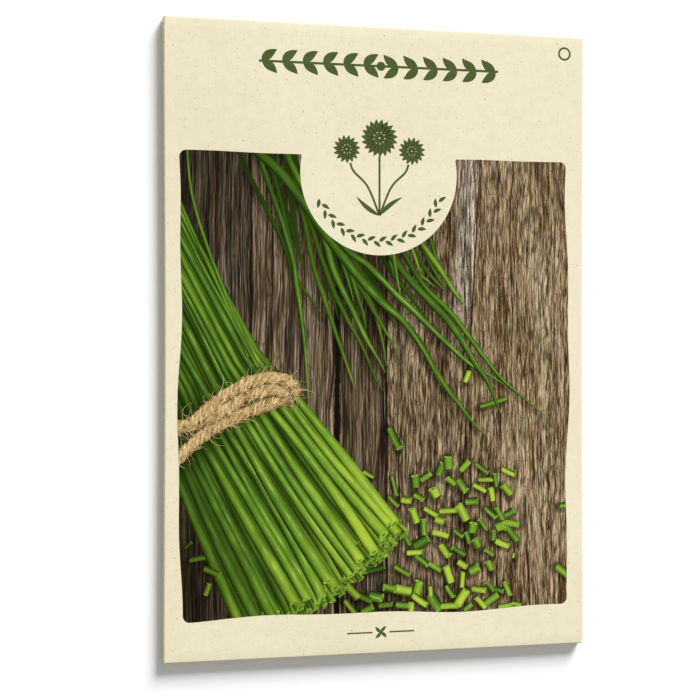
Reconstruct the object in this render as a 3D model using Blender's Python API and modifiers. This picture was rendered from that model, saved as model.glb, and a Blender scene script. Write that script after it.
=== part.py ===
"""A flat paper seed packet with its seeds inside, lying on its back.

The packet is one sheet of grass paper. It is folded round into a shallow tube with narrow side walls, its two
long edges lap down the middle of the back, and a tongue at each end folds over the back. Three strips of glue
hold the lap and the two tongues. Loose chive seeds lie between the front and the back.

Frame: metres, origin under the middle of the packet on the surface it lies on, +X to the packet's right,
+Y to the top of its front, +Z out of its front.
"""

import math
import random

import bmesh
import bpy

# The packet's outside
WIDTH = 0.080
HEIGHT = 0.115
THICKNESS = 0.0021
CROWN = 0.00022  # how far the seeds lift the middle of the front
PINCH = 0.0002  # how far each long side pulls in at mid-height

# The paper and its folds
PAPER = 0.00015
CREASE_RADIUS = 0.0003  # outside radius of every fold
LAYER_GAP = 0.0001  # between two glued layers
LAP = 0.010
LAP_STEP = 0.0015  # length over which the inner lap climbs onto the outer one
LAP_CLEARANCE = 0.0004
BOTTOM_FLAP = 0.014
TOP_FLAP = 0.017
TONGUE_INSET = 0.00015  # a tongue is this much narrower than the front, on each side
SLIT = 0.0001
END_GAP = 0.00005  # between the end of the tube and the tongue that covers it

# How finely the sheet is divided
CREASE_STEPS = 3
FRONT_COLUMNS = 12
FRONT_ROWS = 16
BACK_COLUMNS = 3
RAMP_STEPS = 3
FLAP_ROWS = 2

# The glue
GLUE_THICKNESS = 0.00006
GLUE_WIDTH = 0.006
SEAM_GLUE_LENGTH = 0.104
FLAP_GLUE_LENGTH = 0.066

# The seeds
SEED_COLUMNS = 8
SEED_ROWS = 5
SEED_PITCH_X = 0.0082
SEED_PITCH_Y = 0.0074
SEED_FIELD_Y = -0.030  # middle of the patch of seeds
SEED_JITTER = 0.0017
SEED_SIZE = (0.0027, 0.0017, 0.0010)  # length, breadth, depth
SEED_TAPER = 0.28
SEED_RIDGE = 0.42
SEED_BELLY = 0.7
SEED_WRINKLE = 0.05
SEED_CLEARANCE = 0.0001
SEED_SHAPES = 4
RANDOM_SEED = 11

# What follows from them: levels of the middle of the paper, and the straight parts between the folds
MID_RADIUS = CREASE_RADIUS - PAPER / 2
FLAP_LEVEL = PAPER / 2
OUTER_LEVEL = FLAP_LEVEL + PAPER + LAYER_GAP
INNER_LEVEL = OUTER_LEVEL + PAPER + LAYER_GAP
FRONT_LEVEL = THICKNESS - PAPER / 2
HALF_FRONT = WIDTH / 2 - CREASE_RADIUS
HALF_LENGTH = HEIGHT / 2 - CREASE_RADIUS
TUBE_END = HALF_LENGTH + MID_RADIUS - PAPER / 2 - END_GAP
TONGUE_HALF = HALF_FRONT - TONGUE_INSET


def clear_scene():
    """Removes every object, so that the packet is alone."""
    for item in list(bpy.data.objects):
        bpy.data.objects.remove(item)


def make_material(name, colour, roughness):
    """Returns a plain Principled material."""
    material = bpy.data.materials.new(name)
    material.use_nodes = True
    shader = material.node_tree.nodes["Principled BSDF"]
    shader.inputs["Base Color"].default_value = (*colour, 1)
    shader.inputs["Roughness"].default_value = roughness
    shader.inputs["Metallic"].default_value = 0
    material.diffuse_color = (*colour, 1)
    return material


def add_object(name, mesh, material, collection, location=(0, 0, 0), turn=0.0):
    """Puts a mesh into the packet's collection as one named object."""
    item = bpy.data.objects.new(name, mesh)
    if not mesh.materials:
        mesh.materials.append(material)
    item.location = location
    item.rotation_euler = (0, 0, turn)
    collection.objects.link(item)
    return item


def run_to(path, end, steps):
    """Extends a path of points by a straight run."""
    start = path[-1]
    for step in range(1, steps + 1):
        share = step / steps
        path.append(tuple(a + (b - a) * share for a, b in zip(start, end)))


def crease(path, centre, first, last):
    """Extends a path by a fold: an arc about centre from the first angle to the last, in degrees."""
    for step in range(1, CREASE_STEPS + 1):
        angle = math.radians(first + (last - first) * step / CREASE_STEPS)
        path.append((centre[0] + MID_RADIUS * math.cos(angle), centre[1] + MID_RADIUS * math.sin(angle)))


def tube_section():
    """Returns the sheet's cross-section as (x, z) points, from the outer lap's edge round to the inner one's,
    with the columns between which each tongue lies and those of the slits beside it."""
    side = HALF_FRONT + MID_RADIUS
    path = [(LAP / 2, OUTER_LEVEL)]
    run_to(path, (-HALF_FRONT, OUTER_LEVEL), BACK_COLUMNS)
    crease(path, (-HALF_FRONT, OUTER_LEVEL + MID_RADIUS), -90, -180)
    run_to(path, (-side, FRONT_LEVEL - MID_RADIUS), 1)
    crease(path, (-HALF_FRONT, FRONT_LEVEL - MID_RADIUS), 180, 90)
    run_to(path, (-TONGUE_HALF - SLIT, FRONT_LEVEL), 1)
    run_to(path, (-TONGUE_HALF, FRONT_LEVEL), 1)
    first = len(path) - 1
    run_to(path, (TONGUE_HALF, FRONT_LEVEL), FRONT_COLUMNS)
    last = len(path) - 1
    run_to(path, (TONGUE_HALF + SLIT, FRONT_LEVEL), 1)
    run_to(path, (HALF_FRONT, FRONT_LEVEL), 1)
    crease(path, (HALF_FRONT, FRONT_LEVEL - MID_RADIUS), 90, 0)
    run_to(path, (side, OUTER_LEVEL + MID_RADIUS), 1)
    crease(path, (HALF_FRONT, OUTER_LEVEL + MID_RADIUS), 0, -90)
    run_to(path, (LAP / 2 + LAP_CLEARANCE + LAP_STEP, OUTER_LEVEL), BACK_COLUMNS)
    for step in range(1, RAMP_STEPS + 1):
        share = step / RAMP_STEPS
        climb = share * share * (3 - 2 * share)
        path.append((LAP / 2 + LAP_CLEARANCE + LAP_STEP * (1 - share),
                     OUTER_LEVEL + (INNER_LEVEL - OUTER_LEVEL) * climb))
    run_to(path, (-LAP / 2, INNER_LEVEL), 1)
    return path, first, last


def tongue_section(flap):
    """Returns one tongue's path as (distance from the middle, z) points, from the front's end to its free edge."""
    path = [(HALF_LENGTH, FRONT_LEVEL)]
    crease(path, (HALF_LENGTH, FRONT_LEVEL - MID_RADIUS), 90, 0)
    run_to(path, (HALF_LENGTH + MID_RADIUS, FLAP_LEVEL + MID_RADIUS), 1)
    crease(path, (HALF_LENGTH, FLAP_LEVEL + MID_RADIUS), 0, -90)
    run_to(path, (HEIGHT / 2 - flap, FLAP_LEVEL), FLAP_ROWS)
    return path


def pulled_in(x, y):
    """Returns x where the long sides pull in towards mid-height."""
    return x * (1 - PINCH / (WIDTH / 2) * math.cos(math.pi * y / (2 * HALF_LENGTH)) ** 2)


def crown(x, y):
    """Returns how far the front rises over (x, y), from nothing along its edges to CROWN in the middle."""
    across = max(0.0, 1 - (x / HALF_FRONT) ** 2)
    along = max(0.0, 1 - (y / HALF_LENGTH) ** 4)
    return CROWN * across * along


def packet_sheet(material, collection):
    """The folded sheet: a flat net cut from a grid, folded, and given the paper's thickness."""
    section, tongue_first, tongue_last = tube_section()
    bottom = tongue_section(BOTTOM_FLAP)
    top = tongue_section(TOP_FLAP)
    columns = len(section) - 1
    front_first = len(bottom) - 1
    front_last = front_first + FRONT_ROWS
    rows = front_last + len(top) - 1

    def folded(column, row):
        """Returns where the net's grid point goes when the sheet is folded."""
        x, z = section[column]
        on_tongue = tongue_first <= column <= tongue_last
        if front_first <= row <= front_last:
            y = HALF_LENGTH * (2 * (row - front_first) / FRONT_ROWS - 1)
            if abs(x) <= HALF_FRONT and z == FRONT_LEVEL:
                z += crown(x, y)
            return pulled_in(x, y), y, z
        beyond, way, path = (front_first - row, -1, bottom) if row < front_first else (row - front_last, 1, top)
        if on_tongue:
            distance, z = path[beyond]
            return x, way * distance, z
        return x, way * TUBE_END, z

    def cut_away(column, row):
        """Tells whether the net has no paper in this cell of the grid."""
        if tongue_first <= column < tongue_last:
            return False
        in_slit = column in (tongue_first - 1, tongue_last)
        margin = 0 if in_slit else 1
        return not front_first - margin <= row < front_last + margin

    net = bmesh.new()
    bmesh.ops.create_grid(net, x_segments=columns, y_segments=rows, size=1)
    places = {vert: (round((vert.co.x + 1) / 2 * columns), round((vert.co.y + 1) / 2 * rows)) for vert in net.verts}
    waste = []
    for face in net.faces:
        column = min(places[vert][0] for vert in face.verts)
        row = min(places[vert][1] for vert in face.verts)
        if cut_away(column, row):
            waste.append(face)
    for vert, (column, row) in places.items():
        vert.co = folded(column, row)
    bmesh.ops.delete(net, geom=waste, context="FACES")
    mesh = bpy.data.meshes.new("packet_sheet")
    net.to_mesh(mesh)
    net.free()
    mesh.shade_smooth()
    sheet = add_object("packet_sheet", mesh, material, collection)
    thickness = sheet.modifiers.new("paper", "SOLIDIFY")
    thickness.thickness = PAPER
    thickness.offset = 0
    thickness.use_even_offset = True
    return sheet


def glue_strip(name, length, centre, turn, material, collection):
    """A flat strip of dried glue with round ends, along X before it is turned."""
    radius = GLUE_WIDTH / 2
    curve = bpy.data.curves.new(name, "CURVE")
    curve.dimensions = "2D"
    curve.fill_mode = "BOTH"
    curve.extrude = GLUE_THICKNESS / 2
    curve.resolution_u = 6
    outline = curve.splines.new("BEZIER")
    outline.bezier_points.add(3)
    outline.use_cyclic_u = True
    half = length / 2 - radius
    handle = radius * 4 / 3
    corners = [(half, -radius, 1), (half, radius, 1), (-half, radius, -1), (-half, -radius, -1)]
    for index, (point, (x, y, way)) in enumerate(zip(outline.bezier_points, corners)):
        point.co = (x, y, 0)
        bulge = (x + way * handle, y, 0)
        along = (x - way * half / 2, y, 0)
        leaves_by_arc = index % 2 == 0
        point.handle_right = bulge if leaves_by_arc else along
        point.handle_left = along if leaves_by_arc else bulge
    shape = bpy.data.objects.new(name, curve)
    collection.objects.link(shape)
    bpy.context.view_layer.update()
    evaluated = shape.evaluated_get(bpy.context.evaluated_depsgraph_get())
    mesh = bpy.data.meshes.new_from_object(evaluated)
    bpy.data.objects.remove(shape)
    strip = bmesh.new()
    strip.from_mesh(mesh)
    bmesh.ops.remove_doubles(strip, verts=strip.verts, dist=GLUE_THICKNESS / 100)
    strip.to_mesh(mesh)
    strip.free()
    return add_object(name, mesh, material, collection, centre, turn)


def seed_mesh(index, draw):
    """One chive seed: flat below, ridged above, narrower at one end, with a wrinkled coat."""
    length, breadth, depth = SEED_SIZE
    seed = bmesh.new()
    bmesh.ops.create_icosphere(seed, subdivisions=2, radius=1)
    for vert in seed.verts:
        x, y, z = vert.co
        narrow = 1 - SEED_TAPER * x
        rise = z * (1 - SEED_RIDGE * abs(y)) if z > 0 else z * SEED_BELLY
        swell = 1 - SEED_WRINKLE * draw.random()
        vert.co = (x * length / 2 * swell, y * narrow * breadth / 2 * swell, rise * depth / (1 + SEED_BELLY) * swell)
    lowest = min(vert.co.z for vert in seed.verts)
    bmesh.ops.translate(seed, verts=seed.verts, vec=(0, 0, -lowest))
    mesh = bpy.data.meshes.new(f"seed_shape_{index}")
    seed.to_mesh(mesh)
    seed.free()
    return mesh


def inside_floor(x):
    """Returns the height of the inside of the back under a seed at x, the lap and its step included."""
    reach = SEED_SIZE[0]
    over_lap = -LAP / 2 - reach < x < LAP / 2 + LAP_CLEARANCE + LAP_STEP + reach
    return (INNER_LEVEL if over_lap else OUTER_LEVEL) + PAPER / 2


def seeds(material, collection):
    """The loose seeds, spread in one layer over the lower half of the packet."""
    draw = random.Random(RANDOM_SEED)
    shapes = [seed_mesh(index, draw) for index in range(SEED_SHAPES)]
    number = 0
    for row in range(SEED_ROWS):
        shift = SEED_PITCH_X / 4 * (1 if row % 2 else -1)
        for column in range(SEED_COLUMNS):
            number += 1
            x = (column - (SEED_COLUMNS - 1) / 2) * SEED_PITCH_X + shift
            y = SEED_FIELD_Y + (row - (SEED_ROWS - 1) / 2) * SEED_PITCH_Y
            x += draw.uniform(-SEED_JITTER, SEED_JITTER)
            y += draw.uniform(-SEED_JITTER, SEED_JITTER)
            place = (x, y, inside_floor(x) + SEED_CLEARANCE)
            turn = draw.uniform(0, 2 * math.pi)
            add_object(f"seed_{number:02d}", draw.choice(shapes), material, collection, place, turn)


def build():
    """Builds the packet."""
    clear_scene()
    packet = bpy.data.collections.new("seed_packet")
    bpy.context.scene.collection.children.link(packet)
    paper = make_material("grass_paper", (0.86, 0.79, 0.59), 0.85)
    glue = make_material("dried_glue", (0.80, 0.76, 0.66), 0.4)
    coat = make_material("seed_coat", (0.015, 0.014, 0.013), 0.55)

    packet_sheet(paper, packet)
    seam_level = (OUTER_LEVEL + INNER_LEVEL) / 2
    flap_level = (FLAP_LEVEL + OUTER_LEVEL) / 2
    bottom_y = -HEIGHT / 2 + BOTTOM_FLAP / 2
    top_y = HEIGHT / 2 - TOP_FLAP / 2
    glue_strip("seam_glue", SEAM_GLUE_LENGTH, (0, 0, seam_level), math.pi / 2, glue, packet)
    glue_strip("bottom_glue", FLAP_GLUE_LENGTH, (0, bottom_y, flap_level), 0, glue, packet)
    glue_strip("top_glue", FLAP_GLUE_LENGTH, (0, top_y, flap_level), 0, glue, packet)
    seeds(coat, packet)


build()
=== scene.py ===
"""The looks of a flat paper seed packet that lies on its back, with its front up.

The packet is one folded sheet of speckled grass paper. A picture is printed on its front: a tied bunch of
chives, loose stalks and chopped pieces on weathered boards. The ink is made as very thin flat shapes that lie
on the paper in the order in which they cover each other. Lengths are in metres, and those of the print are
given in millimetres and turned to metres where a shape is laid on the paper.
"""

import bisect
import functools
import logging
import math
import random
from collections.abc import Callable, Iterable, Sequence
from dataclasses import dataclass, field
from enum import Enum

import bmesh
import bpy
import numpy as np
from bpy.types import Material, Node, NodeSocket, NodeTree, Object
from mathutils import Matrix, Vector


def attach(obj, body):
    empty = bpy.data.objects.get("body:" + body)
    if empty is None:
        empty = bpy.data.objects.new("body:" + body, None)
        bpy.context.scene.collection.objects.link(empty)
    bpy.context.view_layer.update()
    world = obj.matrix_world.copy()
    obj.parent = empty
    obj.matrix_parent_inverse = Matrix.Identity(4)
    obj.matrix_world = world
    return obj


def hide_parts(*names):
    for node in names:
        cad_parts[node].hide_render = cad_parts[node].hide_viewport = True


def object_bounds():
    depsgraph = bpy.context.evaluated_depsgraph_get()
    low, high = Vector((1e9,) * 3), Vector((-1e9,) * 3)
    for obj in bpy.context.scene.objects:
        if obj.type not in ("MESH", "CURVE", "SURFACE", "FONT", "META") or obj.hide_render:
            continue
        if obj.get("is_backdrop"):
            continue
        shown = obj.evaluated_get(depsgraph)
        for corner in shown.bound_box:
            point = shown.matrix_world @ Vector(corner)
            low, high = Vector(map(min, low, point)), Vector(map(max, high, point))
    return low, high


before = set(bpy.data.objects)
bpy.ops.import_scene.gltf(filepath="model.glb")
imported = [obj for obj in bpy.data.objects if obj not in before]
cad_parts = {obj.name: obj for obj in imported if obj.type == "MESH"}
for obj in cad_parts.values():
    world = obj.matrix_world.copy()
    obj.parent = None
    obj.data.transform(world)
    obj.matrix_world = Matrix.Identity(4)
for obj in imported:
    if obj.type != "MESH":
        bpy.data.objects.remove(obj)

LOG = logging.getLogger("seed_packet")
MM = 0.001
# How much smaller than the solid model the sheet is built, so that rounding never takes it outside.
SNUG = 0.003 * MM
# The unit of an ink's height above the paper.
INK_STEP = 1e-6
# How often an edge is halved to find where an outline cuts it.
HALVINGS = 12
CAD_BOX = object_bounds()

Colour = tuple[float, float, float, float]
Point = tuple[float, float]
Triple = tuple[float, float, float]
Row = tuple[float, ...]


def srgb(red: int, green: int, blue: int) -> Colour:
    """Turns a colour as a screen shows it into the linear one that a shader takes.

    Args:
        red: Red from 0 to 255.
        green: Green from 0 to 255.
        blue: Blue from 0 to 255.

    Returns:
        The linear colour, opaque.
    """
    linear = []
    for value in (red / 255, green / 255, blue / 255):
        linear.append(value / 12.92 if value <= 0.04045 else ((value + 0.055) / 1.055) ** 2.4)
    return (*linear, 1.0)


def smooth(share: float) -> float:
    """Eases a share from 0 to 1 in and out."""
    share = min(1.0, max(0.0, share))
    return share * share * (3 - 2 * share)


class Ink(Enum):
    """The order in which the inks lie on the paper, each by its lowest height in micrometres."""

    BOARDS = 3
    PLAIN = 4
    STREWN = 7
    BASE = 12
    DEEP = 14
    MIDDLE = 22
    TOP = 30
    TWINE = 40
    HAIRS = 66


# ---- Shader building ----


class Graph:
    """A short way to lay and link the nodes of one material or node group."""

    def __init__(self, tree: NodeTree) -> None:
        """Starts on a tree, which it empties."""
        self.tree = tree
        self.tree.nodes.clear()

    def node(self, kind: str, inputs: dict[str | int, object] | None = None, **settings: object) -> Node:
        """Adds one node.

        Args:
            kind: The node's type, without its ShaderNode start.
            inputs: Values or sockets for its inputs, by name or number.
            settings: The node's own settings.

        Returns:
            The node.
        """
        made = self.tree.nodes.new(kind if kind.startswith("NodeGroup") else "ShaderNode" + kind)
        for name, value in settings.items():
            setattr(made, name, value)
        for name, value in (inputs or {}).items():
            if isinstance(value, NodeSocket):
                self.tree.links.new(value, made.inputs[name])
            else:
                made.inputs[name].default_value = value
        return made

    def grouped(self, group: NodeTree, **inputs: object) -> Node:
        """Adds a node group with its named inputs."""
        return self.node("Group", inputs, node_tree=group)

    def results(self, **sockets: NodeSocket) -> NodeTree:
        """Links what a node group puts out, by name, and returns the group."""
        self.node("NodeGroupOutput", sockets)
        return self.tree

    def math(self, operation: str, *values: object, clamp: bool = False) -> NodeSocket:
        """Adds a Math node on up to three values and returns its result."""
        return self.node("Math", dict(enumerate(values)), operation=operation, use_clamp=clamp).outputs[0]

    def vector(self, operation: str, *values: object) -> NodeSocket:
        """Adds a Vector Math node and returns its vector."""
        return self.node("VectorMath", dict(enumerate(values)), operation=operation).outputs[0]

    def joined(self, *values: object) -> NodeSocket:
        """Joins three numbers into a vector."""
        return self.node("CombineXYZ", dict(enumerate(values))).outputs[0]

    def parts(self, vector: object) -> tuple[NodeSocket, ...]:
        """Splits a vector into its three numbers."""
        return tuple(self.node("SeparateXYZ", {0: vector}).outputs)

    def channels(self, colour: object) -> tuple[NodeSocket, ...]:
        """Splits a colour into its three numbers."""
        return tuple(self.node("SeparateColor", {0: colour}).outputs)

    def mix(self, share: object, first: object, second: object, blend: str = "MIX") -> NodeSocket:
        """Adds a colour Mix node and returns its colour."""
        inputs = {0: share, 6: first, 7: second}
        return self.node("Mix", inputs, data_type="RGBA", blend_type=blend).outputs[2]

    def band(self, value: object, low: float, high: float, start: float = 0, end: float = 1) -> NodeSocket:
        """Maps a value smoothly from one band to another and holds it there."""
        inputs = {0: value, 1: low, 2: high, 3: start, 4: end}
        return self.node("MapRange", inputs, interpolation_type="SMOOTHSTEP").outputs[0]

    def varied(self, value: object, noise: NodeSocket, amount: float) -> NodeSocket:
        """Moves a value up and down by an amount of a noise that lies round a half."""
        return self.math("MULTIPLY_ADD", self.math("SUBTRACT", noise, 0.5), amount, value)

    def ramp(self, value: object, stops: Sequence[tuple[float, Colour]], steps: bool = False) -> NodeSocket:
        """Adds a colour ramp.

        Args:
            value: The socket that runs along the ramp.
            stops: Places from 0 to 1 and their colours.
            steps: Whether each colour holds until the next place.

        Returns:
            The ramp's colour.
        """
        made = self.node("ValToRGB", {0: value})
        ramp = made.color_ramp
        ramp.interpolation = "CONSTANT" if steps else "LINEAR"
        while len(ramp.elements) > 1:
            ramp.elements.remove(ramp.elements[0])
        ramp.elements[0].position, ramp.elements[0].color = stops[0]
        for place, colour in stops[1:]:
            ramp.elements.new(place).color = colour
        return made.outputs[0]

    def noise(self, vector: object, detail: float = 2.0, rough: float = 0.5, kind: str = "FBM") -> NodeSocket:
        """Adds noise of one wave for each unit of its vector and returns its value."""
        inputs = {"Vector": vector, "Scale": 1.0, "Detail": detail, "Roughness": rough}
        return self.node("TexNoise", inputs, noise_type=kind).outputs[0]

    def stretched(self, vector: object, scale: Triple, shift: float = 0.0) -> NodeSocket:
        """Returns the vector with each axis scaled, and moved along by a shift."""
        return self.vector("MULTIPLY_ADD", vector, scale, (shift, shift * 0.37, shift * 0.11))

    def millimetres(self) -> NodeSocket:
        """Returns the place on the packet, in millimetres."""
        place = self.node("TexCoord").outputs["Object"]
        return self.vector("MULTIPLY", place, (1 / MM, 1 / MM, 1 / MM))

    def look(self) -> tuple[NodeSocket, ...]:
        """Returns an ink shape's look: its tint, how deep in shade it lies, and its own number."""
        return self.channels(self.node("Attribute", attribute_name="look").outputs["Color"])

    def print_map(self) -> tuple[NodeSocket, ...]:
        """Returns a place on an ink shape: how far across it and how far along it, and nothing."""
        return self.parts(self.node("UVMap", uv_map="print").outputs[0])

    def bump(self, height: object, distance: float) -> NodeSocket:
        """Adds a Bump node for a height from 0 to 1 and returns its normal."""
        return self.node("Bump", {"Height": height, "Distance": distance, "Strength": 1.0}).outputs[0]

    def surface(self, **inputs: object) -> None:
        """Adds the Principled shader and the output.

        Args:
            inputs: The shader's inputs, with an underscore for each blank.
        """
        named = {name.replace("_", " "): value for name, value in inputs.items()}
        self.node("OutputMaterial", {0: self.node("BsdfPrincipled", named).outputs[0]})


def new_material(name: str) -> tuple[Material, Graph]:
    """Makes an empty node material and the graph to fill it."""
    made = bpy.data.materials.new(name)
    made.use_nodes = True
    return made, Graph(made.node_tree)


class Socket(Enum):
    """The kinds of socket that a node group has."""

    VALUE = "NodeSocketFloat"
    COLOUR = "NodeSocketColor"


def new_group(name: str, inputs: dict[str, tuple[Socket, object]], outputs: dict[str, Socket]) -> Graph:
    """Makes a node group with its sockets.

    Args:
        name: The group's name.
        inputs: Each input's kind and value, by name.
        outputs: Each output's kind, by name.

    Returns:
        The graph to fill.
    """
    group = bpy.data.node_groups.new(name, "ShaderNodeTree")
    for label, (kind, value) in inputs.items():
        group.interface.new_socket(label, in_out="INPUT", socket_type=kind.value).default_value = value
    for label, kind in outputs.items():
        group.interface.new_socket(label, in_out="OUTPUT", socket_type=kind.value)
    return Graph(group)


class SharedEffects:
    """The node groups that several finishes use. Each is made once."""

    @classmethod
    @functools.cache
    def grass_paper(cls) -> NodeTree:
        """Makes grass paper's cloudy tone, its specks, its fibres and its rough height.

        The place is sheared by its height, so that the specks on the upright walls aren't drawn out.

        Returns:
            The group. All that it puts out is a value from 0 to 1.
        """
        outputs = {label: Socket.VALUE for label in ("Cloud", "Speck", "Fibre", "Height")}
        graph = new_group("Grass paper", {"Amount": (Socket.VALUE, 1.0)}, outputs)
        amount = graph.node("NodeGroupInput").outputs["Amount"]
        place = graph.millimetres()
        upward = graph.parts(place)[2]
        place = graph.vector("ADD", place, graph.joined(upward, upward, 0.0))
        wide = graph.noise(graph.stretched(place, (0.05, 0.05, 0.05), 3.1), 3)
        near = graph.noise(graph.stretched(place, (0.7, 0.7, 0.7), 9.7), 3)
        cloud = graph.math("MULTIPLY_ADD", near, 0.45, graph.math("MULTIPLY", wide, 0.55))
        specks = cls._specks(graph, place, 0.55, 0.13, 0.6)
        small = cls._specks(graph, place, 1.5, 0.09, 0.40)
        speck = graph.math("MAXIMUM", specks, graph.math("MULTIPLY", small, 0.75))
        speck = graph.math("MULTIPLY", speck, amount, clamp=True)
        fibre = graph.math("MAXIMUM", cls._fibres(graph, place, 0.9), cls._fibres(graph, place, -0.6))
        pulp = graph.noise(graph.stretched(place, (4.5, 4.5, 4.5)), 3, 0.6)
        height = graph.math("MULTIPLY_ADD", fibre, 0.25, pulp)
        return graph.results(Cloud=cloud, Speck=speck, Fibre=fibre, Height=height)

    @staticmethod
    def _specks(graph: Graph, place: NodeSocket, density: float, size: float, kept: float) -> NodeSocket:
        """Adds round specks to a graph.

        Args:
            graph: The graph.
            place: The place in millimetres.
            density: Cells for each millimetre.
            size: The largest speck's radius, in millimetres.
            kept: The share of cells that hold one.

        Returns:
            The mask of the specks.
        """
        cells = graph.node("TexVoronoi", {"Vector": place, "Scale": density}, voronoi_dimensions="2D")
        chosen, wideness, darkness = graph.channels(cells.outputs["Color"])
        radius = graph.math("MULTIPLY", wideness, size * density)
        gap = graph.math("SUBTRACT", cells.outputs["Distance"], radius)
        edge = graph.band(gap, -0.03 * density, 0.05 * density, 1.0, 0.0)
        there = graph.math("LESS_THAN", chosen, kept)
        strength = graph.math("MULTIPLY", there, graph.band(darkness, 0.0, 1.0, 0.35, 1.0))
        return graph.math("MULTIPLY", edge, strength)

    @staticmethod
    def _fibres(graph: Graph, place: NodeSocket, slope: float) -> NodeSocket:
        """Adds short thin fibres that lean one way to a graph.

        Args:
            graph: The graph.
            place: The place in millimetres.
            slope: How far they lean, in radians.

        Returns:
            The mask of the fibres.
        """
        turned = graph.node("VectorRotate", {"Vector": place, "Angle": slope}, rotation_type="Z_AXIS")
        long_cells = graph.stretched(turned.outputs[0], (0.32, 2.6, 1.0), slope * 7)
        cells = graph.node("TexVoronoi", {"Vector": long_cells, "Scale": 1.0}, voronoi_dimensions="2D")
        there = graph.math("LESS_THAN", graph.channels(cells.outputs["Color"])[0], 0.2)
        return graph.math("MULTIPLY", graph.band(cells.outputs["Distance"], 0.05, 0.22, 1.0, 0.0), there)

    @classmethod
    @functools.cache
    def ink_on_paper(cls) -> NodeTree:
        """Lets the paper's grain show through an ink.

        Returns:
            The group, which puts out the ink's colour and a height for a bump.
        """
        inputs = {"Ink": (Socket.COLOUR, (0.5, 0.5, 0.5, 1)), "Thinness": (Socket.VALUE, 0.25)}
        graph = new_group("Ink on paper", inputs, {"Color": Socket.COLOUR, "Height": Socket.VALUE})
        given = graph.node("NodeGroupInput").outputs
        height = graph.grouped(cls.grass_paper()).outputs["Height"]
        lift = graph.math("MULTIPLY_ADD", graph.math("SUBTRACT", height, 0.5), given["Thinness"], 1.0)
        toned = graph.vector("MULTIPLY", given["Ink"], graph.joined(lift, lift, lift))
        return graph.results(Color=toned, Height=height)

    @classmethod
    @functools.cache
    def round_stalk(cls) -> NodeTree:
        """Shades a flat strip as if it were round.

        Returns:
            The group. Across runs from 0 to 1 over the strip, and Light and Shine are masks.
        """
        inputs = {"Across": (Socket.VALUE, 0.5), "Lean": (Socket.VALUE, 0.58)}
        graph = new_group("Round stalk", inputs, {"Light": Socket.VALUE, "Shine": Socket.VALUE})
        given = graph.node("NodeGroupInput").outputs
        away = graph.math("ABSOLUTE", graph.math("SUBTRACT", given["Across"], given["Lean"]))
        fall = graph.math("POWER", graph.math("MULTIPLY", away, 1.8), 1.8)
        light = graph.math("SUBTRACT", 1.0, fall, clamp=True)
        return graph.results(Light=light, Shine=graph.band(away, 0.0, 0.16, 1.0, 0.0))

    @classmethod
    def finish_print(cls, graph: Graph, colour: object, thinness: float, grain: float = 0.006 * MM) -> None:
        """Completes a printed material: dull ink, with the paper's grain in its colour and surface.

        Args:
            graph: The material's graph.
            colour: The ink's colour.
            thinness: How much the grain changes the colour.
            grain: How deep the grain is, in metres.
        """
        printed = graph.grouped(cls.ink_on_paper(), Ink=colour, Thinness=thinness).outputs
        normal = graph.bump(printed["Height"], grain)
        graph.surface(Base_Color=printed["Color"], Roughness=0.8, Specular_IOR_Level=0.05, Normal=normal)


# ---- Finishes ----


@dataclass(frozen=True)
class GrassPaper:
    """Uncoated cream paper with specks and short fibres of dried grass."""

    pale: Colour = srgb(229, 221, 194)
    deep: Colour = srgb(222, 213, 182)
    speck: Colour = srgb(150, 143, 108)
    fibre: Colour = srgb(214, 200, 152)
    # The edge tone is painted shade: multiplied into the upright walls, it makes them darker and yellower
    # than the front.
    edge: Colour = srgb(243, 237, 214)

    def material(self) -> Material:
        """Makes the paper, with painted shade that makes its upright walls a little deeper in tone.

        Returns:
            The material.
        """
        made, graph = new_material("grass_paper")
        paper = graph.grouped(SharedEffects.grass_paper(), Amount=1.0).outputs
        base = graph.mix(graph.band(paper["Cloud"], 0.3, 0.7), self.pale, self.deep)
        base = graph.mix(graph.math("MULTIPLY", paper["Fibre"], 0.35), base, self.fibre)
        base = graph.mix(graph.math("MULTIPLY", paper["Speck"], 0.75), base, self.speck)
        # Painted shade: where the paper turns from facing up to facing sideways, the edge tone is multiplied
        # in, so that the walls look shaded.
        upright = graph.parts(graph.node("NewGeometry").outputs["Normal"])[2]
        wall_shade_mask = graph.band(graph.math("ABSOLUTE", upright), 0.35, 0.95, 0.75, 0.0)
        base = graph.mix(wall_shade_mask, base, graph.mix(1.0, base, self.edge, "MULTIPLY"))
        normal = graph.bump(paper["Height"], 0.012 * MM)
        graph.surface(Base_Color=base, Roughness=0.9, Specular_IOR_Level=0.08, Normal=normal)
        return made


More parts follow.
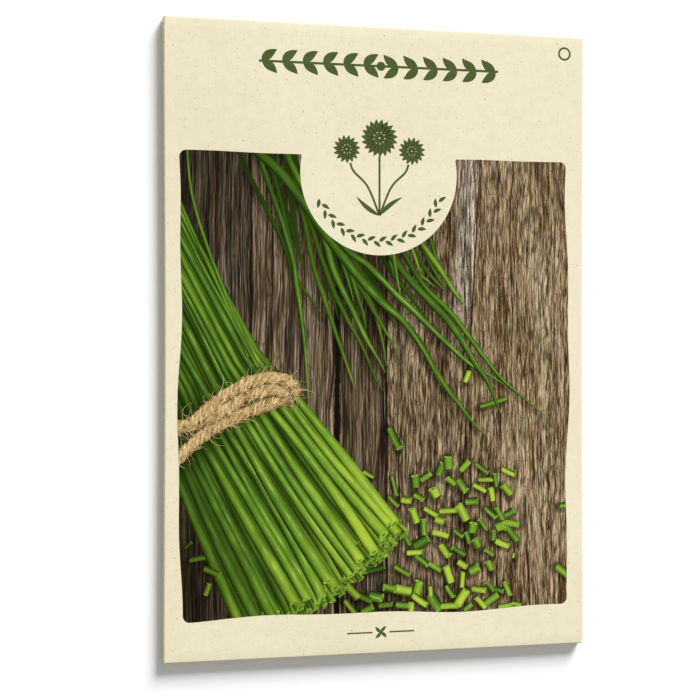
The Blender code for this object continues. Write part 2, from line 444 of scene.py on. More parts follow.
@dataclass(frozen=True)
class WeatheredBoards:
    """The picture's ground: old upright boards with cracked, ridged grain, each with its own tone.

    A seam is its place across, its half width, its strength and its lean. The grains are the darkest and the
    lightest board's colours at the levels of its tone. A wave of the grain is its scale and its weight. A row
    of splits is its pitch, how far it wanders, its half width and its strength.
    """

    left: float = -40.0
    width: float = 80.0
    seams: tuple[Row, ...] = (
        (-24.2, 0.20, 0.9, 0.0),
        (-20.4, 0.12, 0.6, 0.0),
        (-8.3, 0.48, 1.0, 0.0),
        (1.0, 0.26, 0.9, 0.0),
        (17.2, 0.15, 0.85, 0.065),
    )
    tones: tuple[float, ...] = (0.02, 0.28, 0.30, 0.22, 0.66, 1.0)
    plates: Triple = (1.1, 0.36, 1.0)
    relief: float = 0.09
    grains: tuple[tuple[Colour, ...], ...] = (
        (srgb(22, 15, 9), srgb(46, 35, 25), srgb(73, 60, 46), srgb(98, 86, 68), srgb(148, 136, 114)),
        (srgb(56, 36, 16), srgb(104, 79, 49), srgb(143, 120, 90), srgb(178, 156, 122), srgb(210, 190, 154)),
    )
    levels: tuple[float, ...] = (0.28, 0.42, 0.50, 0.60, 0.74)
    waves: tuple[tuple[Triple, float], ...] = (
        ((2.0, 0.12, 1.0), 0.36),
        ((4.4, 0.30, 1.0), 0.46),
        ((0.34, 0.03, 1.0), 0.52),
        ((1.0, 0.24, 1.0), 0.40),
    )
    splits: tuple[Row, ...] = (
        (3.1, 5.0, 0.046, 0.95),
        (1.2, 2.2, 0.070, 0.74),
        (0.55, 1.2, 0.10, 0.30),
    )
    crack: Colour = srgb(16, 10, 6)
    rust: Colour = srgb(150, 96, 48)
    moss: Colour = srgb(120, 122, 74)
    bleached: Colour = (1.22, 1.34, 1.72, 1.0)
    shaded: Colour = (0.13, 0.10, 0.06, 1.0)

    def material(self) -> Material:
        """Makes the boards, darkened by the mesh's own shade attribute.

        Returns:
            The material.
        """
        made, graph = new_material("printed_boards")
        place = graph.millimetres()
        across, along, _ = graph.parts(place)
        slow = graph.noise(graph.stretched(place, (0.16, 0.045, 1.0)), 2)
        quick = graph.noise(graph.stretched(place, (0.8, 0.34, 1.0), 5.0), 2)
        straight = graph.varied(across, slow, 1.1)
        board = self._board_tone(graph, straight)
        bent = graph.varied(graph.varied(across, quick, 0.22), slow, 2.2)
        shorter = graph.math("MULTIPLY", along, graph.band(board, 0.30, 0.70, 0.36, 1.0))
        grain = graph.joined(bent, shorter, graph.math("MULTIPLY", board, 23.0))
        tone = self._ridges(graph, grain)
        dark, light = (graph.ramp(tone, list(zip(self.levels, wood))) for wood in self.grains)
        colour = self._stained(graph, grain, graph.mix(board, dark, light))
        colour = graph.mix(self._cracks(graph, grain), colour, self.crack)
        colour = graph.mix(self._seams(graph, straight, along), colour, self.crack)
        shade = graph.node("Attribute", attribute_name="shade").outputs["Fac"]
        colour = graph.mix(shade, colour, graph.mix(1.0, colour, self.shaded, "MULTIPLY"))
        SharedEffects.finish_print(graph, colour, 0.12)
        return made

    def _board_tone(self, graph: Graph, across: NodeSocket) -> NodeSocket:
        """Returns each board's own lightness, from 0 to 1, for a place across."""
        places = (self.left, *(seam[0] for seam in self.seams))
        share = graph.math("MULTIPLY_ADD", across, 1 / self.width, -self.left / self.width)
        stops = [((x - self.left) / self.width, (t, t, t, 1.0)) for x, t in zip(places, self.tones)]
        return graph.channels(graph.ramp(share, stops, steps=True))[0]

    def _ridges(self, graph: Graph, grain: NodeSocket) -> NodeSocket:
        """Works out the grain's tone from its waves and from ridges that are lit on one side.

        Args:
            graph: The material's graph.
            grain: The place in the grain.

        Returns:
            The tone, round 0.5.
        """
        tone: object = 0.5
        for scale, weight in self.waves:
            wave = graph.noise(graph.stretched(grain, scale, scale[0] * 2.0), 2, 0.55)
            tone = graph.varied(tone, wave, weight)
        beside = graph.vector("ADD", grain, (self.relief, 0.0, 0.0))
        here, next_to = (
            graph.noise(graph.stretched(at, (1.8, 0.26, 1.0), 9.0), 3, 0.6) for at in (grain, beside)
        )
        return graph.math("MULTIPLY_ADD", graph.math("SUBTRACT", next_to, here), 1.7, tone)

    def _seams(self, graph: Graph, across: NodeSocket, along: NodeSocket) -> NodeSocket:
        """Works out the dark seams between the boards, which open and close along their length.

        Args:
            graph: The material's graph.
            across: The place across the boards.
            along: The place along them.

        Returns:
            The mask of the seams.
        """
        mask: object = 0.0
        for number, (place, half, strength, lean) in enumerate(self.seams):
            along_seam = graph.joined(float(number * 5), along, 0.0)
            ragged = graph.noise(graph.stretched(along_seam, (1.0, 0.5, 1.0)), 3, 0.6)
            middle = graph.math("MULTIPLY_ADD", along, lean, place)
            away = graph.math("ABSOLUTE", graph.math("SUBTRACT", across, middle))
            away = graph.varied(away, ragged, -1.2 * half)
            mask = graph.math("MAXIMUM", mask, graph.band(away, half * 0.7, half * 1.2, strength, 0.0))
        return mask

    def _cracks(self, graph: Graph, grain: NodeSocket) -> NodeSocket:
        """Works out the thin dark cracks: edges of plates, lines along the grain, and rows of splits.

        Args:
            graph: The material's graph.
            grain: The place in the grain.

        Returns:
            The mask of the cracks.
        """
        warp = graph.noise(graph.stretched(grain, (1.4, 0.7, 1.0), 17.0), 2, 0.6)
        wavy = graph.joined(graph.math("MULTIPLY", warp, 0.7), 0.0, 0.0)
        cells = {"Vector": graph.stretched(graph.vector("ADD", grain, wavy), self.plates, 3.0), "Scale": 1.0}
        kinds = {"voronoi_dimensions": "3D", "feature": "DISTANCE_TO_EDGE"}
        edges = graph.node("TexVoronoi", cells, **kinds).outputs["Distance"]
        parted = graph.noise(graph.stretched(grain, (0.8, 0.3, 1.0), 23.0), 2, 0.5)
        edges = graph.band(edges, 0.01, 0.07, 0.50, 0.0)
        plates = graph.math("MULTIPLY", edges, graph.band(parted, 0.34, 0.60))
        rows = graph.noise(graph.stretched(grain, (1.25, 0.13, 1.0), 31.0), 2, 0.55)
        beside = graph.math("ABSOLUTE", graph.math("SUBTRACT", rows, 0.5))
        lines = graph.band(beside, 0.025, 0.085, 0.72, 0.0)
        lines = graph.math("MULTIPLY", lines, graph.band(parted, 0.62, 0.40))
        mask = graph.math("MAXIMUM", plates, lines)
        across = graph.parts(grain)[0]
        for pitch, wander, half, strength in self.splits:
            drift = graph.noise(graph.stretched(grain, (0.5 / pitch, 0.05 / pitch, 1.0), pitch * 11), 2, 0.5)
            row = graph.math("MULTIPLY_ADD", drift, wander / pitch, graph.math("MULTIPLY", across, 1 / pitch))
            line = graph.band(graph.math("PINGPONG", row, 0.5), half * 0.3, half, strength, 0.0)
            opened = graph.noise(graph.stretched(grain, (0.9, 0.16, 1.0), pitch * 5), 2, 0.5)
            mask = graph.math("MAXIMUM", mask, graph.math("MULTIPLY", line, graph.band(opened, 0.34, 0.50)))
        return mask

    def _worn_strip(self, graph: Graph) -> NodeSocket:
        """Works out where the bleached strip beside the last seam lies.

        Args:
            graph: The material's graph.

        Returns:
            The mask of the strip.
        """
        across, along, _ = graph.parts(graph.millimetres())
        place, _, _, lean = self.seams[-1]
        beside = graph.math("SUBTRACT", graph.math("MULTIPLY_ADD", along, lean, place), across)
        near = graph.math("MULTIPLY", graph.band(beside, 3.0, 4.8, 1.0, 0.0), graph.band(beside, 0.0, 0.3))
        return graph.math("MULTIPLY", near, graph.band(along, -4.0, 8.0))

    def _stained(self, graph: Graph, grain: NodeSocket, colour: NodeSocket) -> NodeSocket:
        """Lays rusty and mossy stains and the worn strip over a colour.

        Args:
            graph: The material's graph.
            grain: The place in the grain.
            colour: The clean wood's colour.

        Returns:
            The stained colour.
        """
        rusty = graph.noise(graph.stretched(grain, (0.7, 0.12, 1.0), 7.0), 3)
        stained = graph.mix(graph.band(rusty, 0.56, 0.74, 0.0, 0.20), colour, self.rust)
        worn = graph.mix(1.0, colour, self.bleached, "MULTIPLY")
        stained = graph.mix(self._worn_strip(graph), stained, worn)
        mossy = graph.noise(graph.stretched(grain, (0.5, 0.10, 1.0), 13.0), 3)
        return graph.mix(graph.band(mossy, 0.55, 0.72, 0.0, 0.25), stained, self.moss)


@dataclass(frozen=True)
class PrintedStalk:
    """Printed chive green, shaded as if it were round, with streaks along the stalk.

    Streaks, blotches and mottle are each given by waves across the stalk and along a millimetre of it, and by
    the noise's detail and roughness.
    """

    green: Colour = srgb(108, 148, 40)
    yellow: Colour = srgb(166, 194, 58)
    cold: Colour = srgb(82, 124, 38)
    shine: Colour = srgb(190, 212, 104)
    shadow: Colour = srgb(84, 92, 30)
    streaks: tuple[float, ...] = (3.4, 0.14, 3, 0.6)
    blotches: tuple[float, ...] = (0.5, 0.11, 2, 0.5)
    mottle: tuple[float, ...] = (2.4, 0.32, 3, 0.6)

    def material(self) -> Material:
        """Makes the green from each stalk's tint, how deep in shade it lies, and its own number.

        Returns:
            The material.
        """
        made, graph = new_material("printed_stalks")
        tint, depth, number = graph.look()
        across, along, _ = graph.print_map()
        stalk = graph.joined(across, along, graph.math("MULTIPLY", number, 57.0))
        streaks, blotches, mottle = (
            graph.noise(graph.stretched(stalk, (wide, long, 1.0)), detail, rough)
            for wide, long, detail, rough in (self.streaks, self.blotches, self.mottle)
        )
        rounded = graph.grouped(SharedEffects.round_stalk(), Across=across, Lean=0.40).outputs
        hue = graph.varied(tint, blotches, 0.9)
        body = graph.mix(graph.band(hue, 0.0, 0.5), self.cold, self.green)
        body = graph.mix(graph.band(hue, 0.45, 1.05), body, self.yellow)
        light = rounded["Light"]
        for noise, amount in ((streaks, 0.40), (blotches, 0.45), (mottle, 0.34)):
            light = graph.varied(light, noise, amount)
        light = graph.math("MULTIPLY", light, graph.math("SUBTRACT", 1.0, depth), clamp=True)
        shaded = graph.mix(1.0, body, self.shadow, "MULTIPLY")
        colour = graph.mix(graph.band(light, 0.02, 0.98), shaded, body)
        gloss = graph.math("MULTIPLY", rounded["Shine"], graph.band(mottle, 0.40, 0.66, 0.10, 0.75))
        gloss = graph.math("MULTIPLY", gloss, graph.band(light, 0.42, 0.98, 0.0, 0.70))
        SharedEffects.finish_print(graph, graph.mix(gloss, colour, self.shine), 0.10)
        return made


@dataclass(frozen=True)
class PrintedCutEnd:
    """The cut end of a hollow stalk: an uneven pale ring round a darker hole."""

    hole: Colour = srgb(82, 116, 34)
    ring: Colour = srgb(146, 180, 62)
    rim: Colour = srgb(104, 144, 42)
    shadow: Colour = srgb(34, 50, 12)

    def material(self) -> Material:
        """Makes the cut end, whose map runs from its middle out.

        Returns:
            The material.
        """
        made, graph = new_material("printed_cut_ends")
        uneven = graph.noise(graph.stretched(graph.millimetres(), (2.4, 2.4, 1.0)), 2)
        out = graph.varied(graph.print_map()[0], uneven, 0.9)
        stops = ((0.0, self.hole), (0.30, self.hole), (0.62, self.ring), (0.85, self.ring), (1.0, self.rim))
        depth = graph.math("MULTIPLY", graph.look()[1], 0.9)
        SharedEffects.finish_print(graph, graph.mix(depth, graph.ramp(out, stops), self.shadow), 0.10)
        return made


@dataclass(frozen=True)
class PrintedTwine:
    """Printed jute fibre, from brown in the turns to pale straw on top."""

    shadow: Colour = srgb(72, 52, 22)
    straw: Colour = srgb(182, 147, 90)
    pale: Colour = srgb(242, 216, 168)

    def material(self) -> Material:
        """Makes the jute from each fibre's lightness and how deep in shade it lies.

        Returns:
            The material.
        """
        made, graph = new_material("printed_twine")
        tone, depth, _ = graph.look()
        rounded = graph.grouped(SharedEffects.round_stalk(), Across=graph.print_map()[0], Lean=0.55).outputs
        light = graph.math("MULTIPLY_ADD", tone, 0.9, graph.math("MULTIPLY", rounded["Light"], 0.3))
        light = graph.math("SUBTRACT", light, depth)
        colour = graph.ramp(light, ((0.0, self.shadow), (0.5, self.straw), (1.0, self.pale)))
        SharedEffects.finish_print(graph, colour, 0.12)
        return made


@dataclass(frozen=True)
class OliveInk:
    """One plain olive green ink for the ornaments, a little thin where the paper is rough."""

    ink: Colour = srgb(72, 86, 44)
    thin: Colour = srgb(100, 112, 72)

    def material(self) -> Material:
        """Makes the ink.

        Returns:
            The material.
        """
        made, graph = new_material("olive_ink")
        cover = graph.noise(graph.stretched(graph.millimetres(), (0.6, 0.6, 1.0)), 3)
        colour = graph.mix(graph.band(cover, 0.3, 0.8, 0.0, 0.18), self.ink, self.thin)
        SharedEffects.finish_print(graph, colour, 0.3, 0.010 * MM)
        return made


@dataclass(frozen=True)
class DriedGlue:
    """A thin dried film of pale glue."""

    pale: Colour = srgb(226, 218, 196)
    deep: Colour = srgb(206, 192, 156)

    def material(self) -> Material:
        """Makes the glue.

        Returns:
            The material.
        """
        made, graph = new_material("dried_glue")
        spread = graph.noise(graph.stretched(graph.millimetres(), (0.35, 0.35, 0.35)), 4, 0.6)
        colour = graph.mix(spread, self.pale, self.deep)
        gloss = graph.band(spread, 0.2, 0.8, 0.3, 0.55)
        graph.surface(Base_Color=colour, Roughness=gloss, Normal=graph.bump(spread, 0.02 * MM))
        return made


@dataclass(frozen=True)
class SeedCoat:
    """The dull black, finely wrinkled coat of a chive seed."""

    dark: Colour = srgb(18, 17, 16)
    ridge: Colour = srgb(52, 48, 44)

    def material(self) -> Material:
        """Makes the seed's coat.

        Returns:
            The material.
        """
        made, graph = new_material("seed_coat")
        place = graph.stretched(graph.millimetres(), (2.6, 2.6, 2.6))
        wrinkle = graph.noise(place, 4, 0.6, "RIDGED_MULTIFRACTAL")
        colour = graph.mix(graph.band(wrinkle, 0.4, 1.4), self.dark, self.ridge)
        normal = graph.bump(graph.band(wrinkle, 0.0, 1.6), 0.05 * MM)
        graph.surface(Base_Color=colour, Roughness=graph.band(wrinkle, 0.2, 1.4, 0.45, 0.7), Normal=normal)
        return made


@dataclass(frozen=True)
class PaleFloor:
    """A plain, even, almost white floor."""

    tone: float = 0.93
    faint: float = 0.01

    def material(self) -> Material:
        """Makes the floor's finish.

        Returns:
            The material.
        """
        made, graph = new_material("pale_floor")
        cloud = graph.noise(graph.stretched(graph.millimetres(), (0.02, 0.02, 0.02)), 2)
        low, high = ((tone, tone, tone, 1.0) for tone in (self.tone - self.faint, self.tone))
        graph.surface(Base_Color=graph.mix(cloud, low, high), Roughness=1.0, Specular_IOR_Level=0.0)
        return made


# ---- The folded sheet ----


@dataclass
class FoldedSheet:
    """The packet's one sheet of paper: a flat net, folded into a shallow tube with two end tongues."""

    width: float
    height: float
    thickness: float = 2.1 * MM
    paper: float = 0.15 * MM
    crease_radius: float = 0.3 * MM
    layer_gap: float = 0.1 * MM
    lap: float = 10 * MM
    lap_step: float = 1.5 * MM
    lap_clearance: float = 0.4 * MM
    bottom_flap: float = 14 * MM
    top_flap: float = 17 * MM
    tongue_inset: float = 0.15 * MM
    slit: float = 0.1 * MM
    end_gap: float = 0.05 * MM
    crown: float = 0.15 * MM
    pinch: float = 0.2 * MM
    wall_bow: float = 0.07 * MM
    ripple: float = 0.012 * MM
    crease_steps: int = 6
    wall_steps: int = 4
    front_columns: int = 44
    front_rows: int = 60
    back_columns: int = 10
    ramp_steps: int = 5
    lap_steps: int = 4
    flap_rows: int = 8
    sharp_angle: float = 50.0
    middle_radius: float = field(init=False)
    flap_level: float = field(init=False)
    outer_level: float = field(init=False)
    inner_level: float = field(init=False)
    front_level: float = field(init=False)
    half_front: float = field(init=False)
    half_length: float = field(init=False)

    def __post_init__(self) -> None:
        """Works out the levels of the middle of the paper and the straight parts between the folds."""
        self.middle_radius = self.crease_radius - self.paper / 2
        self.flap_level = self.paper / 2
        self.outer_level = self.flap_level + self.paper + self.layer_gap
        self.inner_level = self.outer_level + self.paper + self.layer_gap
        self.front_level = self.thickness - self.paper / 2
        self.half_front = self.width / 2 - self.crease_radius
        self.half_length = self.height / 2 - self.crease_radius

    def rise(self, x: float, y: float) -> float:
        """Returns how far the front stands above its own edges at a place.

        Args:
            x: Place across, in metres.
            y: Place along, in metres.

        Returns:
            The crown that the seeds give it, with a slight ripple of the paper.
        """
        across = max(0.0, 1 - (x / self.half_front) ** 2)
        along = max(0.0, 1 - (y / self.half_length) ** 4)
        waves = math.sin(x / (6.1 * MM) + 1.3) * math.sin(y / (8.3 * MM) + 0.4)
        waves += 0.6 * math.sin((x + y) / (4.3 * MM)) * math.sin((x - 0.6 * y) / (7.7 * MM) + 2.0)
        return self.crown * across * along + self.ripple * waves * min(1.0, 4 * across) * min(1.0, 4 * along)

    def top(self, x: float, y: float) -> float:
        """Returns the height of the paper's upper face over the front."""
        return self.thickness + self.rise(x, y)

    def _run(self, path: list[Point], end: Point, steps: int, bow: Point = (0.0, 0.0)) -> None:
        """Extends a path by a straight run.

        Args:
            path: The path.
            end: Where the run ends.
            steps: Its number of stretches.
            bow: How far its middle stands aside, in x and z.
        """
        start = path[-1]
        for step in range(1, steps + 1):
            share = step / steps
            swell = math.sin(math.pi * share)
            path.append(tuple(a + (b - a) * share + c * swell for a, b, c in zip(start, end, bow)))

    def _crease(self, path: list[Point], centre: Point, first: float, last: float) -> None:
        """Extends a path by a fold.

        Args:
            path: The path.
            centre: The middle of the fold's arc.
            first: The angle where it starts, in degrees.
            last: The angle where it ends.
        """
        for step in range(1, self.crease_steps + 1):
            angle = math.radians(first + (last - first) * step / self.crease_steps)
            turn = (math.cos(angle), math.sin(angle))
            path.append(tuple(c + self.middle_radius * t for c, t in zip(centre, turn)))

    def _tube(self) -> tuple[list[Point], int, int]:
        """Works out the tube's cross-section, from its inner lap round to its outer one.

        Returns:
            The (x, z) points, and the first and last column of the tongues.
        """
        edge = self.half_front
        tongue = edge - self.tongue_inset
        side = edge + self.middle_radius
        low, high = self.outer_level + self.middle_radius, self.front_level - self.middle_radius
        path = [(self.lap / 2, self.outer_level)]
        self._run(path, (-edge, self.outer_level), self.back_columns)
        self._crease(path, (-edge, low), -90, -180)
        self._run(path, (-side, high), self.wall_steps, (self.wall_bow, 0.0))
        self._crease(path, (-edge, high), 180, 90)
        self._run(path, (-tongue - self.slit, self.front_level), 1)
        self._run(path, (-tongue, self.front_level), 1)
        first = len(path) - 1
        self._run(path, (tongue, self.front_level), self.front_columns)
        last = len(path) - 1
        self._run(path, (tongue + self.slit, self.front_level), 1)
        self._run(path, (edge, self.front_level), 1)
        self._crease(path, (edge, high), 90, 0)
        self._run(path, (side, low), self.wall_steps, (-self.wall_bow, 0.0))
        self._crease(path, (edge, low), 0, -90)
        foot = self.lap / 2 + self.lap_clearance
        self._run(path, (foot + self.lap_step, self.outer_level), self.back_columns)
        for step in range(1, self.ramp_steps + 1):
            share = step / self.ramp_steps
            climb = (self.inner_level - self.outer_level) * smooth(share)
            path.append((foot + self.lap_step * (1 - share), self.outer_level + climb))
        self._run(path, (-self.lap / 2, self.inner_level), self.lap_steps)
        return path, first, last

    def _tongue(self, flap: float) -> list[Point]:
        """Works out a tongue's path, from the front out to its free edge.

        Args:
            flap: The length of its part under the back.

        Returns:
            Points, each by its distance from the packet's middle and its z.
        """
        end = self.half_length
        path = [(end, self.front_level)]
        self._crease(path, (end, self.front_level - self.middle_radius), 90, 0)
        foot = (end + self.middle_radius, self.flap_level + self.middle_radius)
        self._run(path, foot, self.wall_steps, (-self.wall_bow, 0.0))
        self._crease(path, (end, self.flap_level + self.middle_radius), 0, -90)
        self._run(path, (self.height / 2 - flap, self.flap_level), self.flap_rows)
        return path

    def build(self) -> Object:
        """Folds the net and gives it the paper's thickness.

        Returns:
            The sheet as one object, with its Solidify modifier applied.
        """
        section, first, last = self._tube()
        bottom, top = self._tongue(self.bottom_flap), self._tongue(self.top_flap)
        columns = len(section) - 1
        low = len(bottom) - 1
        high = low + self.front_rows
        rows = high + len(top) - 1
        tube_end = self.half_length + self.middle_radius - self.paper / 2 - self.end_gap

        def folded(column: int, row: int) -> Triple:
            """Folds one point of the net.

            Args:
                column: The point's column in the net.
                row: Its row.

            Returns:
                Its place on the packet.
            """
            x, z = section[column]
            if low <= row <= high:
                y = self.half_length * (2 * (row - low) / self.front_rows - 1)
                if abs(x) <= self.half_front and z == self.front_level:
                    z += self.rise(x, y)
                pull = self.pinch / (self.width / 2) * math.cos(math.pi * y / (2 * self.half_length)) ** 2
                return x * (1 - pull), y, z
            beyond, way, path = (low - row, -1, bottom) if row < low else (row - high, 1, top)
            if first <= column <= last:
                distance, z = path[beyond]
                return x, way * distance, z
            return x, way * tube_end, z

        def cut_away(column: int, row: int) -> bool:
            """Tells whether the net has no paper in a cell.

            Args:
                column: The cell's column.
                row: Its row.

            Returns:
                Whether it is cut away, as all is beside the tongues.
            """
            if first <= column < last:
                return False
            margin = 0 if column in (first - 1, last) else 1
            return not low - margin <= row < high + margin

        net = bmesh.new()
        bmesh.ops.create_grid(net, x_segments=columns, y_segments=rows, size=1)
        spots = {v: (round((v.co.x + 1) / 2 * columns), round((v.co.y + 1) / 2 * rows)) for v in net.verts}
        waste = []
        for face in net.faces:
            column, row = (min(spots[v][axis] for v in face.verts) for axis in (0, 1))
            if cut_away(column, row):
                waste.append(face)
            face.smooth = True
        for vert, (column, row) in spots.items():
            vert.co = folded(column, row)
        bmesh.ops.delete(net, geom=waste, context="FACES")
        mesh = bpy.data.meshes.new("folded_sheet")
        net.to_mesh(mesh)
        net.free()
        sheet = bpy.data.objects.new("folded_sheet", mesh)
        bpy.context.scene.collection.objects.link(sheet)
        solid = sheet.modifiers.new("paper", "SOLIDIFY")
        solid.thickness = self.paper
        solid.offset = 0
        solid.use_even_offset = True
        apply_modifiers(sheet)
        sheet.data.set_sharp_from_angle(angle=math.radians(self.sharp_angle))
        return sheet


def apply_modifiers(item: Object) -> None:
    """Replaces an object's mesh by what its modifiers make of it."""
    bpy.context.view_layer.update()
    evaluated = item.evaluated_get(bpy.context.evaluated_depsgraph_get())
    mesh = bpy.data.meshes.new_from_object(evaluated)
    item.modifiers.clear()
    item.data = mesh
    mesh.name = item.name


# ---- Ink shapes ----


@dataclass
class InkShape:
    """Thin flat faces that lie on the packet's front, with what their shader needs at each corner.

    Places are in millimetres. A point has its lift above the paper in micrometres.
    """

    name: str
    places: list[Triple] = field(default_factory=list)
    maps: list[Point] = field(default_factory=list)
    looks: list[Triple] = field(default_factory=list)
    faces: list[tuple[int, ...]] = field(default_factory=list)

    def add_point(self, place: Point, lift: float, where: Point, look: Triple) -> int:
        """Adds one point.

        Args:
            place: Its x and y in millimetres.
            lift: Its height above the paper in micrometres.
            where: Its map coordinates.
            look: The values of its look attribute.

        Returns:
            Its number.
        """
        self.places.append((place[0], place[1], lift))
        self.maps.append(where)
        self.looks.append(look)
        return len(self.places) - 1

    def strip(
        self, line: Sequence[Point], halves: Sequence[float], lift: float, tint: float,
        depths: Sequence[float], number: float = 0.0, warm: float = 0.0,
    ) -> None:
        """Adds a strip of changing width along a line.

        Args:
            line: The points of its middle.
            halves: Half its width at each point.
            lift: Its height above the paper, in micrometres.
            tint: The strip's own tint.
            depths: How deep in shade it lies at each point.
            number: A value of its own, from 0 to 1, that sets its streaks apart from its neighbours'.
            warm: How much its tint rises towards its first end.
        """
        count = len(line)
        before: tuple[int, int] | None = None
        travelled = 0.0
        for index, (x, y) in enumerate(line):
            x0, y0 = line[max(0, index - 1)]
            x1, y1 = line[min(count - 1, index + 1)]
            length = math.hypot(x1 - x0, y1 - y0) or 1.0
            across = (-(y1 - y0) / length * halves[index], (x1 - x0) / length * halves[index])
            if index:
                travelled += math.hypot(x - line[index - 1][0], y - line[index - 1][1])
            look = (tint + warm * (1 - index / count) ** 4, depths[index], number)
            left = self.add_point((x + across[0], y + across[1]), lift, (1.0, travelled), look)
            right = self.add_point((x - across[0], y - across[1]), lift, (0.0, travelled), look)
            if before:
                self.faces.append((before[1], right, left, before[0]))
            before = (left, right)

    def round_patch(
        self, centre: Point, radii: Point, turn: float, lift: float, tint: float, depth: float,
        corners: int = 12,
    ) -> None:
        """Adds an ellipse, whose first map coordinate runs from 0 in its middle to 1 at its rim.

        Args:
            centre: Its middle.
            radii: Half its length and half its width.
            turn: The direction of its length, in radians.
            lift: Its height above the paper, in micrometres.
            tint: Its own tint.
            depth: How deep in shade it lies.
            corners: The number of points round it.
        """
        look = (tint, depth, 0.0)
        middle = self.add_point(centre, lift, (0.0, 0.0), look)
        rim = []
        for corner in range(corners):
            angle = 2 * math.pi * corner / corners
            along, aside = radii[0] * math.cos(angle), radii[1] * math.sin(angle)
            x = centre[0] + along * math.cos(turn) - aside * math.sin(turn)
            y = centre[1] + along * math.sin(turn) + aside * math.cos(turn)
            rim.append(self.add_point((x, y), lift, (1.0, corner / corners), look))
        for corner in range(corners):
            self.faces.append((middle, rim[corner], rim[(corner + 1) % corners]))

    def trim(self, inside: Callable[[float, float], float]) -> None:
        """Cuts away what lies outside an outline.

        Args:
            inside: A function of x and y that is positive inside the outline and falls through zero at it.
        """
        values = [inside(x, y) for x, y, _ in self.places]
        cuts: dict[tuple[int, int], int] = {}

        def crossing(first: int, second: int) -> int:
            """Finds where the edge between two points meets the outline, by halving.

            Args:
                first: One point's number.
                second: The other one's.

            Returns:
                The number of the new point there.
            """
            key = (min(first, second), max(first, second))
            if key not in cuts:
                a, b = key
                low, high = 0.0, 1.0
                for _ in range(HALVINGS):
                    half = (low + high) / 2
                    x = self.places[a][0] + (self.places[b][0] - self.places[a][0]) * half
                    y = self.places[a][1] + (self.places[b][1] - self.places[a][1]) * half
                    if (inside(x, y) > 0) == (values[a] > 0):
                        low = half
                    else:
                        high = half
                blend = [
                    tuple(p + (q - p) * low for p, q in zip(items[a], items[b]))
                    for items in (self.places, self.maps, self.looks)
                ]
                cuts[key] = self.add_point(blend[0][:2], blend[0][2], blend[1], blend[2])
            return cuts[key]

        kept = []
        for face in self.faces:
            within = [values[corner] > 0 for corner in face]
            if all(within):
                kept.append(face)
                continue
            if not any(within):
                continue
            outline = []
            for index, corner in enumerate(face):
                following = face[(index + 1) % len(face)]
                if values[corner] > 0:
                    outline.append(corner)
                if (values[corner] > 0) != (values[following] > 0):
                    outline.append(crossing(corner, following))
            if len(outline) > 2:
                kept.append(tuple(outline))
        self.faces = kept

    def lay(self, sheet: FoldedSheet, material: Material, extra: Sequence[float] | None = None) -> None:
        """Lays the shape on the packet's front as an object that rides on the packet.

        Args:
            sheet: The folded sheet that it lies on.
            material: Its ink.
            extra: A value of shade for each point, if the ink needs one.
        """
        used = sorted({corner for face in self.faces for corner in face})
        number = {old: new for new, old in enumerate(used)}
        points = []
        for old in used:
            x, y, lift = self.places[old]
            points.append((x * MM, y * MM, sheet.top(x * MM, y * MM) + lift * INK_STEP))
        faces = [tuple(number[corner] for corner in face) for face in self.faces]
        mesh = bpy.data.meshes.new(self.name)
        mesh.from_pydata(points, [], faces)
        layer = mesh.uv_layers.new(name="print")
        corners = np.empty(len(mesh.loops), np.int32)
        mesh.loops.foreach_get("vertex_index", corners)
        maps = np.array([self.maps[old] for old in used], np.float32)
        layer.data.foreach_set("uv", maps[corners].ravel())
        looks = np.array([(*self.looks[old], 1.0) for old in used], np.float32)
        mesh.attributes.new("look", "FLOAT_COLOR", "POINT").data.foreach_set("color", looks.ravel())
        if extra is not None:
            shade = np.array([extra[old] for old in used], np.float32)
            mesh.attributes.new("shade", "FLOAT", "POINT").data.foreach_set("value", shade)
        mesh.polygons.foreach_set("use_smooth", np.ones(len(mesh.polygons), bool))
        mesh.update()
        mesh.materials.append(material)
        item = bpy.data.objects.new(self.name, mesh)
        bpy.context.scene.collection.objects.link(item)
        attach(item, "root")
        LOG.info("laid %s: %d faces", self.name, len(faces))


def along_line(start: Point, end: Point, bow: float, steps: int) -> list[Point]:
    """Returns points along a gently bowed line.

    Args:
        start: Its first point.
        end: Its last point.
        bow: How far its middle stands to the left of the straight line.
        steps: The number of stretches.

    Returns:
        The points, one more than the stretches.
    """
    dx, dy = end[0] - start[0], end[1] - start[1]
    length = math.hypot(dx, dy) or 1.0
    points = []
    for step in range(steps + 1):
        share = step / steps
        lift = bow * 4 * share * (1 - share)
        x = start[0] + dx * share - dy / length * lift
        y = start[1] + dy * share + dx / length * lift
        points.append((x, y))
    return points


def through(points: Sequence[Point], steps: int) -> list[Point]:
    """Returns a smooth line through points.

    Args:
        points: The points that it passes.
        steps: The number of stretches between two of them.

    Returns:
        The points of the line.
    """
    first = tuple(2 * a - b for a, b in zip(points[0], points[1]))
    last = tuple(2 * a - b for a, b in zip(points[-1], points[-2]))
    held = [first, *points, last]
    line = [tuple(points[0])]
    for index in range(1, len(held) - 2):
        before, start, end, after = held[index - 1:index + 3]
        for step in range(1, steps + 1):
            t = step / steps
            point = []
            for a, b, c, d in zip(before, start, end, after):
                square, cube = 2 * a - 5 * b + 4 * c - d, 3 * b - a - 3 * c + d
                point.append(0.5 * (2 * b + (c - a) * t + square * t**2 + cube * t**3))
            line.append(tuple(point))
    return line


